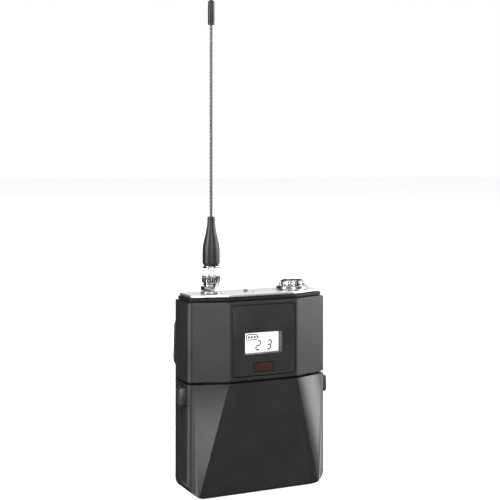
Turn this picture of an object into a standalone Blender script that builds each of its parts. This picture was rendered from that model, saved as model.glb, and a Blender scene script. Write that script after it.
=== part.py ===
"""Wireless bodypack transmitter: faceted belt case with a whip antenna.

Metres, +Z up, X to the right as seen from the display side, which faces -Y.
The origin is at the middle of the base of the whole object's box.
Depths are measured forward from the flat back of the case.
"""
import math

import bmesh
import bpy
import numpy as np
from mathutils import Matrix, Vector

# ---------------------------------------------------------------- case
CASE_WIDTH = 0.0660
CASE_DEPTH = 0.0230
SIDE_DEPTH = 0.0174
FACET_HALF_WIDTH = 0.0160
CASE_TOP = 0.0832
DOOR_HEIGHT = 0.0485
SPLIT_GAP = 0.0011
CASE_WALL = 0.0016
BACK_WALL = 0.0015
DOOR_LEAN = 0.0041
BACK_EDGE_RADIUS = 0.0033
FRONT_CORNER_RADIUS = 0.0030
FOOT_RADIUS = 0.0080
SHOULDER_RADIUS = 0.0016
REAR_SHELL_DEPTH = 0.0047
SEAM_GAP = 0.0005
FIT_GAP = 0.0003
RUN_GAP = 0.0004

# ---------------------------------------------------------------- top
RIM_INSET = 0.0012
RIM_THICKNESS = 0.0012
PLATE_INSET = 0.0019
PLATE_THICKNESS = 0.0010

# ---------------------------------------------------------------- antenna
ANTENNA_X = -0.0197
TOP_FITTING_DEPTH = 0.0110
JACK_RADIUS = 0.0031
JACK_HEIGHT = 0.0075
JACK_TAIL = 0.0070
WASHER_RADIUS = 0.0046
WASHER_THICKNESS = 0.0006
NUT_ACROSS_FLATS = 0.0080
NUT_THICKNESS = 0.0019
COUPLING_RADIUS = 0.0041
COUPLING_HEIGHT = 0.0083
COUPLING_FLUTES = 24
BOOT_BASE_RADIUS = 0.0038
BOOT_TOP_RADIUS = 0.0016
BOOT_HEIGHT = 0.0210
WHIP_RADIUS = 0.00065
WHIP_LENGTH = 0.0830
TIP_RADIUS = 0.00145
TIP_HEIGHT = 0.0109

# ---------------------------------------------------------------- input socket
SOCKET_X = 0.0197
SOCKET_FLANGE_RADIUS = 0.0072
SOCKET_FLANGE_HEIGHT = 0.0016
SOCKET_RING_RADIUS = 0.0052
SOCKET_WALL = 0.0007
SOCKET_HEIGHT = 0.0041
SOCKET_TAIL = 0.0105
SOCKET_NUT_RADIUS = 0.0078
SOCKET_NUT_THICKNESS = 0.0018
SOCKET_PIN_RADIUS = 0.0005
SOCKET_PIN_CIRCLE = 0.0023
SOCKET_PIN_COUNT = 4

# ---------------------------------------------------------------- power switch
SWITCH_X = -0.0016
SWITCH_SLOT_LENGTH = 0.0054
SWITCH_SLOT_WIDTH = 0.0024
SWITCH_KNOB_RADIUS = 0.0009
SWITCH_KNOB_HEIGHT = 0.0009
SWITCH_BODY_SIZE = (0.0085, 0.0040, 0.0035)
LED_RADIUS = 0.0008
LED_DEPTH = 0.0146
LED_LENGTH = 0.0050

# ---------------------------------------------------------------- display
PANEL_WIDTH = 0.0300
PANEL_HEIGHT = 0.0302
PANEL_LOW = 0.0512
PANEL_THICKNESS = 0.0009
PANEL_RECESS = 0.0003
PANEL_SEAT = 0.0016
PANEL_CORNER_RADIUS = 0.0016
LCD_WIDTH = 0.0176
LCD_HEIGHT = 0.0091
LCD_X = 0.0
LCD_LOW = 0.0604
LCD_SINK = 0.0039
LCD_FRAME_WALL = 0.0010
LCD_MODULE_BORDER = 0.0018
LCD_MODULE_THICKNESS = 0.0026
IR_WIDTH = 0.0098
IR_HEIGHT = 0.0042
IR_LOW = 0.0525
IR_DIODE_SIZE = (0.0036, 0.0030, 0.0026)

# ---------------------------------------------------------------- board
BOARD_DEPTH = 0.0030
BOARD_THICKNESS = 0.0012
BOARD_WIDTH = 0.0560
BOARD_LOW = 0.0365
BOARD_HIGH = 0.0788
SHIELD_SIZE = (0.0220, 0.0030, 0.0160)
SHIELD_X = -0.0160
SHIELD_LOW = 0.0560
CHIP_SIZE = (0.0100, 0.0011, 0.0100)
CHIP_X = 0.0170
CHIP_LOW = 0.0530
PLUG_SIZE = (0.0120, 0.0024, 0.0040)
PLUG_X = 0.0020
PLUG_LOW = 0.0540

# ---------------------------------------------------------------- battery bay
CELL_LENGTH = 0.0500
CELL_RADIUS = 0.00725
CELL_NUB_RADIUS = 0.0027
CELL_NUB_LENGTH = 0.0012
CELL_DEPTH = 0.0107
CELL_LOW = 0.0047
CELL_GAP = 0.0006
TRAY_DEPTH = 0.0021
TRAY_WALL = 0.0009
TRAY_REACH = 0.0125
TRAY_HALF_WIDTH = 0.0306
TRAY_CHEEK = 0.0011
TRAY_LOW = 0.0026
TRAY_SHELF = 0.0354
TRAY_CHEEK_LOW = 0.0066
SPRING_WIRE = 0.00022
SPRING_RADIUS = 0.0026
SPRING_TURNS = 3
CONTACT_THICKNESS = 0.0004
KEY_PANEL_HALF_WIDTH = 0.0245
KEY_PANEL_DEPTH = 0.0150
KEY_PANEL_LOW = 0.0368
KEY_WIDTH = 0.0090
KEY_HEIGHT = 0.0056
KEY_PITCH = 0.0200
KEY_PROUD = 0.0008
KEY_FLANGE_LIP = 0.0006
KEY_FLANGE = 0.0008
KEY_PANEL_WALL = 0.0011
KEY_SWITCH_SIZE = (0.0060, 0.0022, 0.0045)
KEY_SWITCH_GAP = 0.0006
KEY_BOARD_THICKNESS = 0.0010

# ---------------------------------------------------------------- door hinge and latches
HINGE_RADIUS = 0.0022
HINGE_PIN_RADIUS = 0.0008
HINGE_BORE_RADIUS = 0.00108
HINGE_LUG_RADIUS = 0.0019
HINGE_PIN_HALF_LENGTH = 0.0248
HINGE_SLIT = 0.0008
DOOR_KNUCKLE_X = 0.0225
DOOR_KNUCKLE_WIDTH = 0.0050
TRAY_LUG_X = 0.0164
TRAY_LUG_WIDTH = 0.0050
TAB_DEPTH = 0.0125
TAB_WIDTH = 0.0050
TAB_HEIGHT = 0.0076
TAB_BELOW_SPLIT = 0.0052
TAB_PROUD = 0.0026
TAB_FLANGE = 0.0008
TAB_FLANGE_LIP = 0.0007
TAB_ROUNDING = 0.0011
TAB_SPRING_RADIUS = 0.0013
TAB_SPRING_LENGTH = 0.0032
TAB_SPRING_TURNS = 3
TAB_SEAT_THICKNESS = 0.0009
TAB_SEAT_HEIGHT = 0.0042

# ---------------------------------------------------------------- belt clip
CLIP_WIRE_RADIUS = 0.0010
CLIP_STANDOFF = 0.0036
CLIP_HALF_WIDTH = 0.0305
CLIP_TOP = 0.0735
CLIP_SHOULDER_LOW = 0.0555
CLIP_FOOT_HALF_WIDTH = 0.0130
CLIP_FOOT_LOW = 0.0165
CLIP_LEG_REACH = 0.0150
CLIP_FOOT_STANDOFF = 0.0024
CLIP_PIVOT_STANDOFF = 0.0023
CLIP_BEND_RADIUS = 0.0024
BRACKET_WIDTH = 0.0128
BRACKET_HEIGHT = 0.0074
BRACKET_X = 0.0180
BRACKET_BORE_START = 0.0170
CLIP_BORE_RADIUS = 0.00135
BRACKET_SEAT = 0.0004
BRACKET_SCREW_X = 0.0144

# ---------------------------------------------------------------- fasteners
SCREW_HEAD_RADIUS = 0.0019
SCREW_HEAD_HEIGHT = 0.0006
SCREW_SINK = 0.0001
SCREW_SHANK_RADIUS = 0.0009
SCREW_LENGTH = 0.0038
SCREW_X = 0.0262
SCREW_LOW_Z = 0.0100
SCREW_HIGH_Z = 0.0668

# ---------------------------------------------------------------- places worked out
HALF_WIDTH = CASE_WIDTH / 2
TAB_CENTRE_Z = DOOR_HEIGHT - TAB_BELOW_SPLIT
CLIP_REACH = CLIP_STANDOFF + CLIP_WIRE_RADIUS
BACK_Y = (CASE_DEPTH + CLIP_REACH) / 2 - CLIP_REACH
COVER_LOW = DOOR_HEIGHT + SPLIT_GAP
FRONT_START = REAR_SHELL_DEPTH + SEAM_GAP
FACET_SLOPE = (CASE_DEPTH - SIDE_DEPTH) / (HALF_WIDTH - FACET_HALF_WIDTH)
RIM_LOW = CASE_TOP + FIT_GAP
RIM_TOP = RIM_LOW + RIM_THICKNESS
PLATE_LOW = RIM_TOP + FIT_GAP
PLATE_TOP = PLATE_LOW + PLATE_THICKNESS
HINGE_DEPTH = FRONT_START + HINGE_RADIUS
DOOR_FOOT_DEPTH = CASE_DEPTH - DOOR_LEAN
ARC_STEPS = 4

PARTS = None
CUTTERS = None


def depth_to_y(depth):
    """World Y of a place that lies `depth` in front of the case's back."""
    return BACK_Y - depth


# ---------------------------------------------------------------- scene and materials
def clear_scene():
    for item in list(bpy.data.objects):
        bpy.data.objects.remove(item, do_unlink=True)


def make_collection(name):
    group = bpy.data.collections.new(name)
    bpy.context.scene.collection.children.link(group)
    return group


def make_material(name, colour, roughness, metallic=0.0):
    material = bpy.data.materials.new(name)
    material.use_nodes = True
    shader = material.node_tree.nodes["Principled BSDF"]
    shader.inputs["Base Color"].default_value = (*colour, 1.0)
    shader.inputs["Roughness"].default_value = roughness
    shader.inputs["Metallic"].default_value = metallic
    return material


def make_materials():
    return {
        "case_plastic": make_material("case_plastic", (0.055, 0.056, 0.058), 0.48),
        "rubber": make_material("rubber", (0.018, 0.018, 0.019), 0.62),
        "gloss_panel": make_material("gloss_panel", (0.045, 0.046, 0.048), 0.18),
        "satin_silver": make_material("satin_silver", (0.74, 0.75, 0.76), 0.34, 0.9),
        "chrome": make_material("chrome", (0.86, 0.86, 0.87), 0.10, 1.0),
        "spring_steel": make_material("spring_steel", (0.13, 0.13, 0.14), 0.35, 1.0),
        "brass": make_material("brass", (0.72, 0.53, 0.22), 0.28, 1.0),
        "lcd": make_material("lcd", (0.83, 0.85, 0.84), 0.30),
        "ir_red": make_material("ir_red", (0.10, 0.018, 0.018), 0.16),
        "board_green": make_material("board_green", (0.02, 0.16, 0.07), 0.45),
        "key_grey": make_material("key_grey", (0.33, 0.34, 0.35), 0.55),
        "cell_wrap": make_material("cell_wrap", (0.10, 0.11, 0.13), 0.35, 0.3),
        "led_lens": make_material("led_lens", (0.15, 0.55, 0.18), 0.2),
    }


# ---------------------------------------------------------------- mesh makers
def object_from_bmesh(name, mesh_data, group):
    mesh = bpy.data.meshes.new(name)
    bmesh.ops.recalc_face_normals(mesh_data, faces=mesh_data.faces)
    mesh_data.to_mesh(mesh)
    mesh_data.free()
    made = bpy.data.objects.new(name, mesh)
    group.objects.link(made)
    return made


def make_box(name, size, centre, group=None):
    mesh_data = bmesh.new()
    place = Matrix.Translation(Vector(centre)) @ Matrix.Diagonal((*size, 1.0))
    bmesh.ops.create_cube(mesh_data, size=1.0, matrix=place)
    return object_from_bmesh(name, mesh_data, group or PARTS)


def make_span(name, low, high, group=None):
    """A box from its lowest corner to its highest."""
    size = [high[i] - low[i] for i in range(3)]
    centre = [(high[i] + low[i]) / 2 for i in range(3)]
    return make_box(name, size, centre, group)


def turn_from_z(axis):
    return {
        "X": Matrix.Rotation(math.pi / 2, 4, "Y"),
        "Y": Matrix.Rotation(math.pi / 2, 4, "X"),
        "Z": Matrix.Identity(4),
    }[axis]


def make_rod(name, radius, length, centre, axis="Z", sides=16, group=None, top_radius=None):
    mesh_data = bmesh.new()
    place = Matrix.Translation(Vector(centre)) @ turn_from_z(axis)
    bmesh.ops.create_cone(
        mesh_data,
        cap_ends=True,
        segments=sides,
        radius1=radius,
        radius2=radius if top_radius is None else top_radius,
        depth=length,
        matrix=place,
    )
    return object_from_bmesh(name, mesh_data, group or PARTS)


def mesh_from_curve(curve_object, group):
    """The evaluated curve as a mesh object with its caps welded on."""
    bpy.context.view_layer.update()
    graph = bpy.context.evaluated_depsgraph_get()
    mesh = bpy.data.meshes.new_from_object(curve_object.evaluated_get(graph))
    mesh_data = bmesh.new()
    mesh_data.from_mesh(mesh)
    bmesh.ops.remove_doubles(mesh_data, verts=mesh_data.verts, dist=0.000001)
    bmesh.ops.transform(mesh_data, matrix=curve_object.matrix_world, verts=mesh_data.verts)
    bpy.data.meshes.remove(mesh)
    name = curve_object.name
    bpy.data.objects.remove(curve_object, do_unlink=True)
    return object_from_bmesh(name, mesh_data, group)


def link_curve(name, points, closed, dimensions):
    curve = bpy.data.curves.new(name, "CURVE")
    curve.dimensions = dimensions
    line = curve.splines.new("POLY")
    line.points.add(len(points) - 1)
    for spot, point in zip(line.points, points):
        filled = tuple(point) + (0.0,) * (3 - len(point))
        spot.co = (*filled, 1.0)
    line.use_cyclic_u = closed
    made = bpy.data.objects.new(name, curve)
    PARTS.objects.link(made)
    return made


def make_slab(name, outline, low, high, facing="Z", group=None):
    """A flat outline drawn out from `low` to `high` along an axis.

    Facing Z the outline is (x, y), facing Y it is (x, z), facing X it is (y, z).
    """
    made = link_curve(name, outline, True, "2D")
    made.data.fill_mode = "BOTH"
    made.data.extrude = (high - low) / 2
    middle = (high + low) / 2
    if facing == "Z":
        made.matrix_world = Matrix.Translation((0, 0, middle))
    elif facing == "Y":
        made.matrix_world = Matrix.Translation((0, middle, 0)) @ Matrix.Rotation(math.pi / 2, 4, "X")
    else:
        swap = Matrix(((0, 0, 1, 0), (1, 0, 0, 0), (0, 1, 0, 0), (0, 0, 0, 1)))
        made.matrix_world = Matrix.Translation((middle, 0, 0)) @ swap
    return mesh_from_curve(made, group or PARTS)


def make_wire(name, points, radius, closed=False, resolution=2):
    made = link_curve(name, points, closed, "3D")
    made.data.bevel_depth = radius
    made.data.bevel_resolution = resolution
    made.data.use_fill_caps = True
    return mesh_from_curve(made, PARTS)


def make_turned(name, profile, place, sides=24):
    """A profile of (radius, height) points, listed top to bottom, turned about Z."""
    mesh_data = bmesh.new()
    spots = [mesh_data.verts.new((radius, 0.0, height)) for radius, height in profile]
    for first, second in zip(spots, spots[1:]):
        mesh_data.edges.new((first, second))
    mesh = bpy.data.meshes.new(name)
    mesh_data.to_mesh(mesh)
    mesh_data.free()
    made = bpy.data.objects.new(name, mesh)
    made.location = place
    PARTS.objects.link(made)
    screw = made.modifiers.new("turn", "SCREW")
    screw.steps = sides
    screw.render_steps = sides
    screw.use_merge_vertices = True
    screw.merge_threshold = 0.00001
    screw.use_smooth_shade = False
    return made


def combine(target, other, operation):
    """Cut, join or trim `target` with `other`, which becomes a hidden cutter."""
    for group in list(other.users_collection):
        group.objects.unlink(other)
    CUTTERS.objects.link(other)
    other.hide_render = True
    other.display_type = "WIRE"
    step = target.modifiers.new(operation.lower(), "BOOLEAN")
    step.operation = operation
    step.solver = "EXACT"
    step.object = other
    return target


def cut(target, other):
    return combine(target, other, "DIFFERENCE")


def join(target, other):
    return combine(target, other, "UNION")


def trim(target, other):
    return combine(target, other, "INTERSECT")


def finish(target, material, smooth=False):
    target.data.materials.clear()
    target.data.materials.append(material)
    if smooth:
        target.data.shade_smooth()
        target.data.set_sharp_from_angle(angle=math.radians(35))
    return target


# ---------------------------------------------------------------- outlines
def rounded(corners, steps=ARC_STEPS):
    """A closed outline through (x, y, radius) corners, each rounded with an arc."""
    outline = []
    count = len(corners)
    for index, (x, y, radius) in enumerate(corners):
        here = np.array((x, y))
        before = np.array(corners[index - 1][:2])
        after = np.array(corners[(index + 1) % count][:2])
        if radius <= 0:
            outline.append((x, y))
            continue
        back = (before - here) / np.linalg.norm(before - here)
        ahead = (after - here) / np.linalg.norm(after - here)
        half = math.acos(float(np.clip(back @ ahead, -1, 1))) / 2
        bisector = (back + ahead) / np.linalg.norm(back + ahead)
        centre = here + bisector * radius / math.sin(half)
        start = here + back * radius / math.tan(half) - centre
        end = here + ahead * radius / math.tan(half) - centre
        sweep = math.atan2(start[0] * end[1] - start[1] * end[0], float(start @ end))
        for step in range(steps + 1):
            angle = sweep * step / steps
            turned = (
                centre[0] + start[0] * math.cos(angle) - start[1] * math.sin(angle),
                centre[1] + start[0] * math.sin(angle) + start[1] * math.cos(angle),
            )
            outline.append(turned)
    return outline


def facet_depth(x, inset=0.0):
    """Depth of the turned side facet at a given x, moved inward by `inset`."""
    away = HALF_WIDTH - abs(x)
    slant = math.hypot(1.0, FACET_SLOPE)
    return SIDE_DEPTH + away * FACET_SLOPE - inset * slant


def crease_x(inset):
    front = CASE_DEPTH - inset
    slant = math.hypot(1.0, FACET_SLOPE)
    return HALF_WIDTH - (front - SIDE_DEPTH + inset * slant) / FACET_SLOPE


def case_outline(inset, back_depth, back_radius):
    """Plan of the case moved inward by `inset`, from `back_depth` to its front."""
    side = HALF_WIDTH - inset
    crease = crease_x(inset)
    corner = max(FRONT_CORNER_RADIUS - inset, 0.0006)
    half = [
        (side, depth_to_y(back_depth), back_radius),
        (side, depth_to_y(facet_depth(side, inset)), corner),
        (crease, depth_to_y(CASE_DEPTH - inset), corner),
    ]
    mirrored = [(-x, y, radius) for x, y, radius in reversed(half)]
    return rounded(half + mirrored)


def elevation_outline(inset, low, high, low_radius, high_radius):
    """Front view of a case part: its width with rounded lower and upper corners."""
    side = HALF_WIDTH - inset
    corners = [
        (-side, low, low_radius),
        (side, low, low_radius),
        (side, high, high_radius),
        (-side, high, high_radius),
    ]
    return rounded(corners, steps=6)


def circle_point(radius, angle):
    return radius * math.cos(angle), radius * math.sin(angle)


def coil_points(radius, length, turns, per_turn=8):
    """Points along an open coil about Z."""
    points = []
    total = turns * per_turn
    for step in range(total + 1):
        x, y = circle_point(radius, 2 * math.pi * step / per_turn)
        points.append((x, y, length * step / total))
    return points


# ---------------------------------------------------------------- case shells
def side_profile(corners, name):
    """A trimming slab drawn along X from a (depth, height, radius) outline."""
    flipped = [(depth_to_y(depth), z, radius) for depth, z, radius in corners]
    return make_slab(name, rounded(flipped), -CASE_WIDTH, CASE_WIDTH, "X")


def front_profile(inset, low, high, low_radius, high_radius, name):
    outline = elevation_outline(inset, low, high, low_radius, high_radius)
    return make_slab(name, outline, -CASE_WIDTH, CASE_WIDTH, "Y")


def screw_places():
    """(name, x, z) of the four screws through the back of the case."""
    places = []
    for level, z in (("lower", SCREW_LOW_Z), ("upper", SCREW_HIGH_Z)):
        for side, x in (("left", -SCREW_X), ("right", SCREW_X)):
            places.append((level + "_" + side, x, z))
    return places


def build_rear_shell(materials):
    side = HALF_WIDTH
    plan = rounded([
        (side, depth_to_y(REAR_SHELL_DEPTH), 0),
        (-side, depth_to_y(REAR_SHELL_DEPTH), 0),
        (-side, depth_to_y(0), BACK_EDGE_RADIUS),
        (side, depth_to_y(0), BACK_EDGE_RADIUS),
    ])
    shell = make_slab("rear_shell", plan, 0, CASE_TOP)
    trim(shell, front_profile(0, 0, CASE_TOP, FOOT_RADIUS, SHOULDER_RADIUS, "rear_front_view"))
    past = REAR_SHELL_DEPTH + CASE_WALL
    trim(shell, side_profile([
        (0, 0, BACK_EDGE_RADIUS),
        (past, 0, 0),
        (past, CASE_TOP, 0),
        (0, CASE_TOP, SHOULDER_RADIUS),
    ], "rear_side_view"))
    hollow = elevation_outline(
        CASE_WALL, CASE_WALL, CASE_TOP - CASE_WALL, FOOT_RADIUS - CASE_WALL, 0
    )
    low_y = depth_to_y(past)
    cut(shell, make_slab("rear_hollow", hollow, low_y, depth_to_y(BACK_WALL), "Y"))
    recess = SCREW_SINK + SCREW_HEAD_HEIGHT + FIT_GAP
    for name, x, z in screw_places():
        bore_name = "rear_screw_bore_" + name
        cut(shell, make_rod(bore_name, SCREW_SHANK_RADIUS + FIT_GAP, BACK_WALL * 4,
                            (x, BACK_Y, z), "Y"))
        head_name = "rear_screw_recess_" + name
        cut(shell, make_rod(head_name, SCREW_HEAD_RADIUS + FIT_GAP, recess * 2,
                            (x, BACK_Y, z), "Y"))
    for side_name, sign in (("left", -1), ("right", 1)):
        seat_size = (BRACKET_WIDTH + 2 * FIT_GAP, 2 * BRACKET_SEAT, BRACKET_HEIGHT + 2 * FIT_GAP)
        cut(shell, make_box("bracket_seat_" + side_name, seat_size,
                            (sign * BRACKET_X, BACK_Y, CLIP_TOP)))
        cut(shell, make_rod("bracket_screw_bore_" + side_name, SCREW_SHANK_RADIUS + FIT_GAP,
                            BACK_WALL * 4, (sign * BRACKET_SCREW_X, BACK_Y, CLIP_TOP), "Y"))
    finish(shell, materials["case_plastic"])


def panel_outline(width, height, low, x=0.0, radius=0.0):
    half = width / 2
    return rounded([
        (x - half, low, radius),
        (x + half, low, radius),
        (x + half, low + height, radius),
        (x - half, low + height, radius),
    ])


def front_slab(name, width, height, low, start, end, x=0.0, radius=0.0):
    """A slab seen from the front, lying between two depths."""
    outline = panel_outline(width, height, low, x, radius)
    return make_slab(name, outline, depth_to_y(end), depth_to_y(start), "Y")


def top_hole(name, radius, x, depth=TOP_FITTING_DEPTH):
    """A cutter for a round hole through everything at the top of the case."""
    tall = 4 * (PLATE_TOP - CASE_TOP + CASE_WALL)
    return make_rod(name, radius, tall, (x, depth_to_y(depth), CASE_TOP), sides=24)


def top_slot(name, length, width):
    tall = 4 * (PLATE_TOP - CASE_TOP + CASE_WALL)
    return make_box(name, (length, width, tall), (SWITCH_X, depth_to_y(TOP_FITTING_DEPTH), CASE_TOP))


def cut_top_openings(target, clearance):
    """The holes that the antenna jack, input socket, switch and light come through."""
    name = target.name
    cut(target, top_hole(name + "_jack_hole", JACK_RADIUS + clearance, ANTENNA_X))
    cut(target, top_hole(name + "_socket_hole", SOCKET_RING_RADIUS + clearance, SOCKET_X))
    cut(target, top_slot(name + "_switch_slot", SWITCH_SLOT_LENGTH, SWITCH_SLOT_WIDTH))
    cut(target, top_hole(name + "_led_hole", LED_RADIUS + clearance, SWITCH_X, LED_DEPTH))


def build_front_cover(materials):
    cover = make_slab("front_cover", case_outline(0, FRONT_START, 0), COVER_LOW, CASE_TOP)
    trim(cover, front_profile(0, 0, CASE_TOP, 0, SHOULDER_RADIUS, "cover_front_view"))
    trim(cover, side_profile([
        (0, COVER_LOW / 2, 0),
        (CASE_DEPTH + CASE_WALL, COVER_LOW / 2, 0),
        (CASE_DEPTH + CASE_WALL, CASE_TOP - SHOULDER_RADIUS, 0),
        (CASE_DEPTH - SHOULDER_RADIUS / 2, CASE_TOP, SHOULDER_RADIUS / 2),
        (0, CASE_TOP, 0),
    ], "cover_side_view"))
    plan = case_outline(CASE_WALL, FRONT_START - CASE_WALL, 0)
    hollow_low = COVER_LOW + CASE_WALL
    hollow_high = CASE_TOP - CASE_WALL
    hollow = make_slab("cover_hollow", plan, hollow_low, hollow_high)
    seat = CASE_DEPTH - CASE_WALL - PANEL_SEAT
    margin = PANEL_SEAT
    cut(hollow, front_slab("panel_seat", PANEL_WIDTH + 2 * margin, PANEL_HEIGHT + 2 * margin,
                           PANEL_LOW - margin, seat, CASE_DEPTH + CASE_WALL))
    cut(cover, hollow)
    floor = CASE_DEPTH - PANEL_RECESS - PANEL_THICKNESS - FIT_GAP
    cut(cover, front_slab("panel_pocket", PANEL_WIDTH + 2 * FIT_GAP, PANEL_HEIGHT + 2 * FIT_GAP,
                          PANEL_LOW - FIT_GAP, floor, CASE_DEPTH * 2,
                          radius=PANEL_CORNER_RADIUS + FIT_GAP))
    frame = LCD_FRAME_WALL + FIT_GAP
    cut(cover, front_slab("lcd_tunnel", LCD_WIDTH + 2 * frame, LCD_HEIGHT + 2 * frame,
                          LCD_LOW - frame, CASE_DEPTH / 2, CASE_DEPTH * 2, x=LCD_X))
    cut(cover, front_slab("ir_tunnel", IR_WIDTH, IR_HEIGHT, IR_LOW, CASE_DEPTH / 2,
                          CASE_DEPTH * 2, x=LCD_X))
    cut_top_openings(cover, FIT_GAP)
    finish(cover, materials["case_plastic"])


def tab_box(name, lip, low_x, high_x, sign):
    """A box around the latch tab's place, larger than the tab by `lip` all round."""
    size = (high_x - low_x, TAB_WIDTH + 2 * lip, TAB_HEIGHT + 2 * lip)
    centre = (sign * (high_x + low_x) / 2, depth_to_y(TAB_DEPTH), TAB_CENTRE_Z)
    return make_box(name, size, centre)


def tab_flange_x():
    """Inner and outer x of the flange that keeps a latch tab in the door."""
    outer = HALF_WIDTH - CASE_WALL - FIT_GAP
    return outer - TAB_FLANGE, outer


def tab_seat_x():
    """Inner and outer x of the rib that the latch tab's spring pushes on."""
    outer = tab_flange_x()[0] - TAB_SPRING_LENGTH - 2 * FIT_GAP
    return outer - TAB_SEAT_THICKNESS, outer


def door_profile(inset, back, low, high, foot_radius, toe_radius, name):
    front = CASE_DEPTH - inset
    foot = DOOR_FOOT_DEPTH - inset
    return side_profile([
        (back, low, foot_radius),
        (foot + DOOR_LEAN * low / DOOR_HEIGHT, low, toe_radius),
        (front + DOOR_LEAN * (high - DOOR_HEIGHT) / DOOR_HEIGHT, high, 0),
        (back, high, 0),
    ], name)


def hinge_rod(name, radius, width, x):
    return make_rod(name, radius, width, (x, depth_to_y(HINGE_DEPTH), HINGE_RADIUS), "X", 20)


def build_battery_door(materials):
    door = make_slab("battery_door", case_outline(0, FRONT_START, 0), 0, DOOR_HEIGHT)
    above = DOOR_HEIGHT + FOOT_RADIUS
    trim(door, front_profile(0, 0, above, FOOT_RADIUS, 0, "door_front_view"))
    trim(door, door_profile(0, FRONT_START, 0, DOOR_HEIGHT, HINGE_RADIUS, CASE_WALL,
                            "door_side_view"))
    behind = FRONT_START - CASE_WALL
    hollow = make_slab("door_hollow", case_outline(CASE_WALL, behind, 0), 0, above)
    trim(hollow, front_profile(CASE_WALL, CASE_WALL, above * 2, FOOT_RADIUS - CASE_WALL, 0,
                               "hollow_front_view"))
    trim(hollow, door_profile(CASE_WALL, behind, CASE_WALL, above, 0, CASE_WALL / 2,
                              "hollow_side_view"))
    cut(door, hollow)
    inner = HALF_WIDTH - FOOT_RADIUS
    cut(door, make_span("floor_edge", (-inner, depth_to_y(FRONT_START + SEAM_GAP), -CASE_WALL),
                        (inner, depth_to_y(0), HINGE_RADIUS)))
    for side, sign in (("left", -1), ("right", 1)):
        join(door, hinge_rod("door_knuckle_" + side, HINGE_LUG_RADIUS, DOOR_KNUCKLE_WIDTH,
                             sign * DOOR_KNUCKLE_X))
        reach = HINGE_LUG_RADIUS + HINGE_SLIT
        slot_width = TRAY_LUG_WIDTH + 2 * HINGE_SLIT
        slot_x = sign * TRAY_LUG_X
        cut(door, make_box("door_lug_slot_" + side, (slot_width, 2 * reach, 4 * HINGE_RADIUS),
                           (slot_x, depth_to_y(HINGE_DEPTH), 0)))
        cut(door, tab_box("door_tab_window_" + side, FIT_GAP, HALF_WIDTH - 2 * CASE_WALL,
                          HALF_WIDTH + CASE_WALL, sign))
        low_x, high_x = tab_seat_x()
        seat_back = depth_to_y(TAB_DEPTH - TAB_WIDTH / 2)
        seat_front = depth_to_y(facet_depth(high_x) - CASE_WALL / 2)
        seat = make_box(
            "door_spring_seat_" + side,
            (high_x - low_x, seat_back - seat_front, TAB_SEAT_HEIGHT),
            (sign * (low_x + high_x) / 2, (seat_back + seat_front) / 2, TAB_CENTRE_Z),
        )
        join(door, seat)
    bore = hinge_rod("door_hinge_bore", HINGE_BORE_RADIUS, CASE_WIDTH - 2 * FOOT_RADIUS, 0)
    cut(door, bore)
    finish(door, materials["case_plastic"])


def build_hinge_pin(materials):
    pin = hinge_rod("door_hinge_pin", HINGE_PIN_RADIUS, 2 * HINGE_PIN_HALF_LENGTH, 0)
    finish(pin, materials["chrome"], smooth=True)


def build_latch_tabs(materials):
    inner, outer = tab_flange_x()
    for side, sign in (("left", -1), ("right", 1)):
        tab = tab_box("latch_tab_" + side, 0, outer - TAB_FLANGE / 2, HALF_WIDTH + TAB_PROUD, sign)
        rounding = tab.modifiers.new("rounding", "BEVEL")
        rounding.width = TAB_ROUNDING
        rounding.segments = 3
        join(tab, tab_box("tab_flange_" + side, TAB_FLANGE_LIP, inner, outer, sign))
        finish(tab, materials["case_plastic"], smooth=True)
        coil = coil_points(TAB_SPRING_RADIUS, TAB_SPRING_LENGTH - 2 * SPRING_WIRE, TAB_SPRING_TURNS)
        start = inner - FIT_GAP - SPRING_WIRE
        place = [
            (sign * (start - z), depth_to_y(TAB_DEPTH) + x, TAB_CENTRE_Z + y) for x, y, z in coil
        ]
        spring = make_wire("latch_spring_" + side, place, SPRING_WIRE)
        finish(spring, materials["spring_steel"], smooth=True)


# ---------------------------------------------------------------- top of the case
def build_top_plates(materials):
    rim = make_slab("top_rim", case_outline(RIM_INSET, RIM_INSET, BACK_EDGE_RADIUS - RIM_INSET),
                    RIM_LOW, RIM_TOP)
    cut_top_openings(rim, FIT_GAP)
    finish(rim, materials["rubber"])
    plate = make_slab("top_plate", case_outline(PLATE_INSET, PLATE_INSET,
                                                BACK_EDGE_RADIUS - PLATE_INSET),
                      PLATE_LOW, PLATE_TOP)
    cut_top_openings(plate, FIT_GAP)
    finish(plate, materials["satin_silver"])


def build_power_switch(materials):
    length, width, height = SWITCH_BODY_SIZE
    body_top = CASE_TOP - CASE_WALL - FIT_GAP
    y = depth_to_y(TOP_FITTING_DEPTH)
    body = make_box("power_switch_body", (length, width, height),
                    (SWITCH_X, y, body_top - height / 2))
    finish(body, materials["rubber"])
    knob_low = body_top + FIT_GAP
    knob_high = PLATE_TOP + SWITCH_KNOB_HEIGHT
    knob_x = SWITCH_X - SWITCH_SLOT_LENGTH / 2 + SWITCH_KNOB_RADIUS + FIT_GAP
    knob = make_rod("power_switch_knob", SWITCH_KNOB_RADIUS, knob_high - knob_low,
                    (0, 0, 0), sides=20)
    knob.location = (knob_x, y, (knob_low + knob_high) / 2)
    finish(knob, materials["key_grey"], smooth=True)
    led_top = PLATE_TOP + SCREW_SINK
    led = make_rod("power_led", LED_RADIUS, LED_LENGTH,
                   (SWITCH_X, depth_to_y(LED_DEPTH), led_top - LED_LENGTH / 2))
    finish(led, materials["led_lens"], smooth=True)


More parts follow.
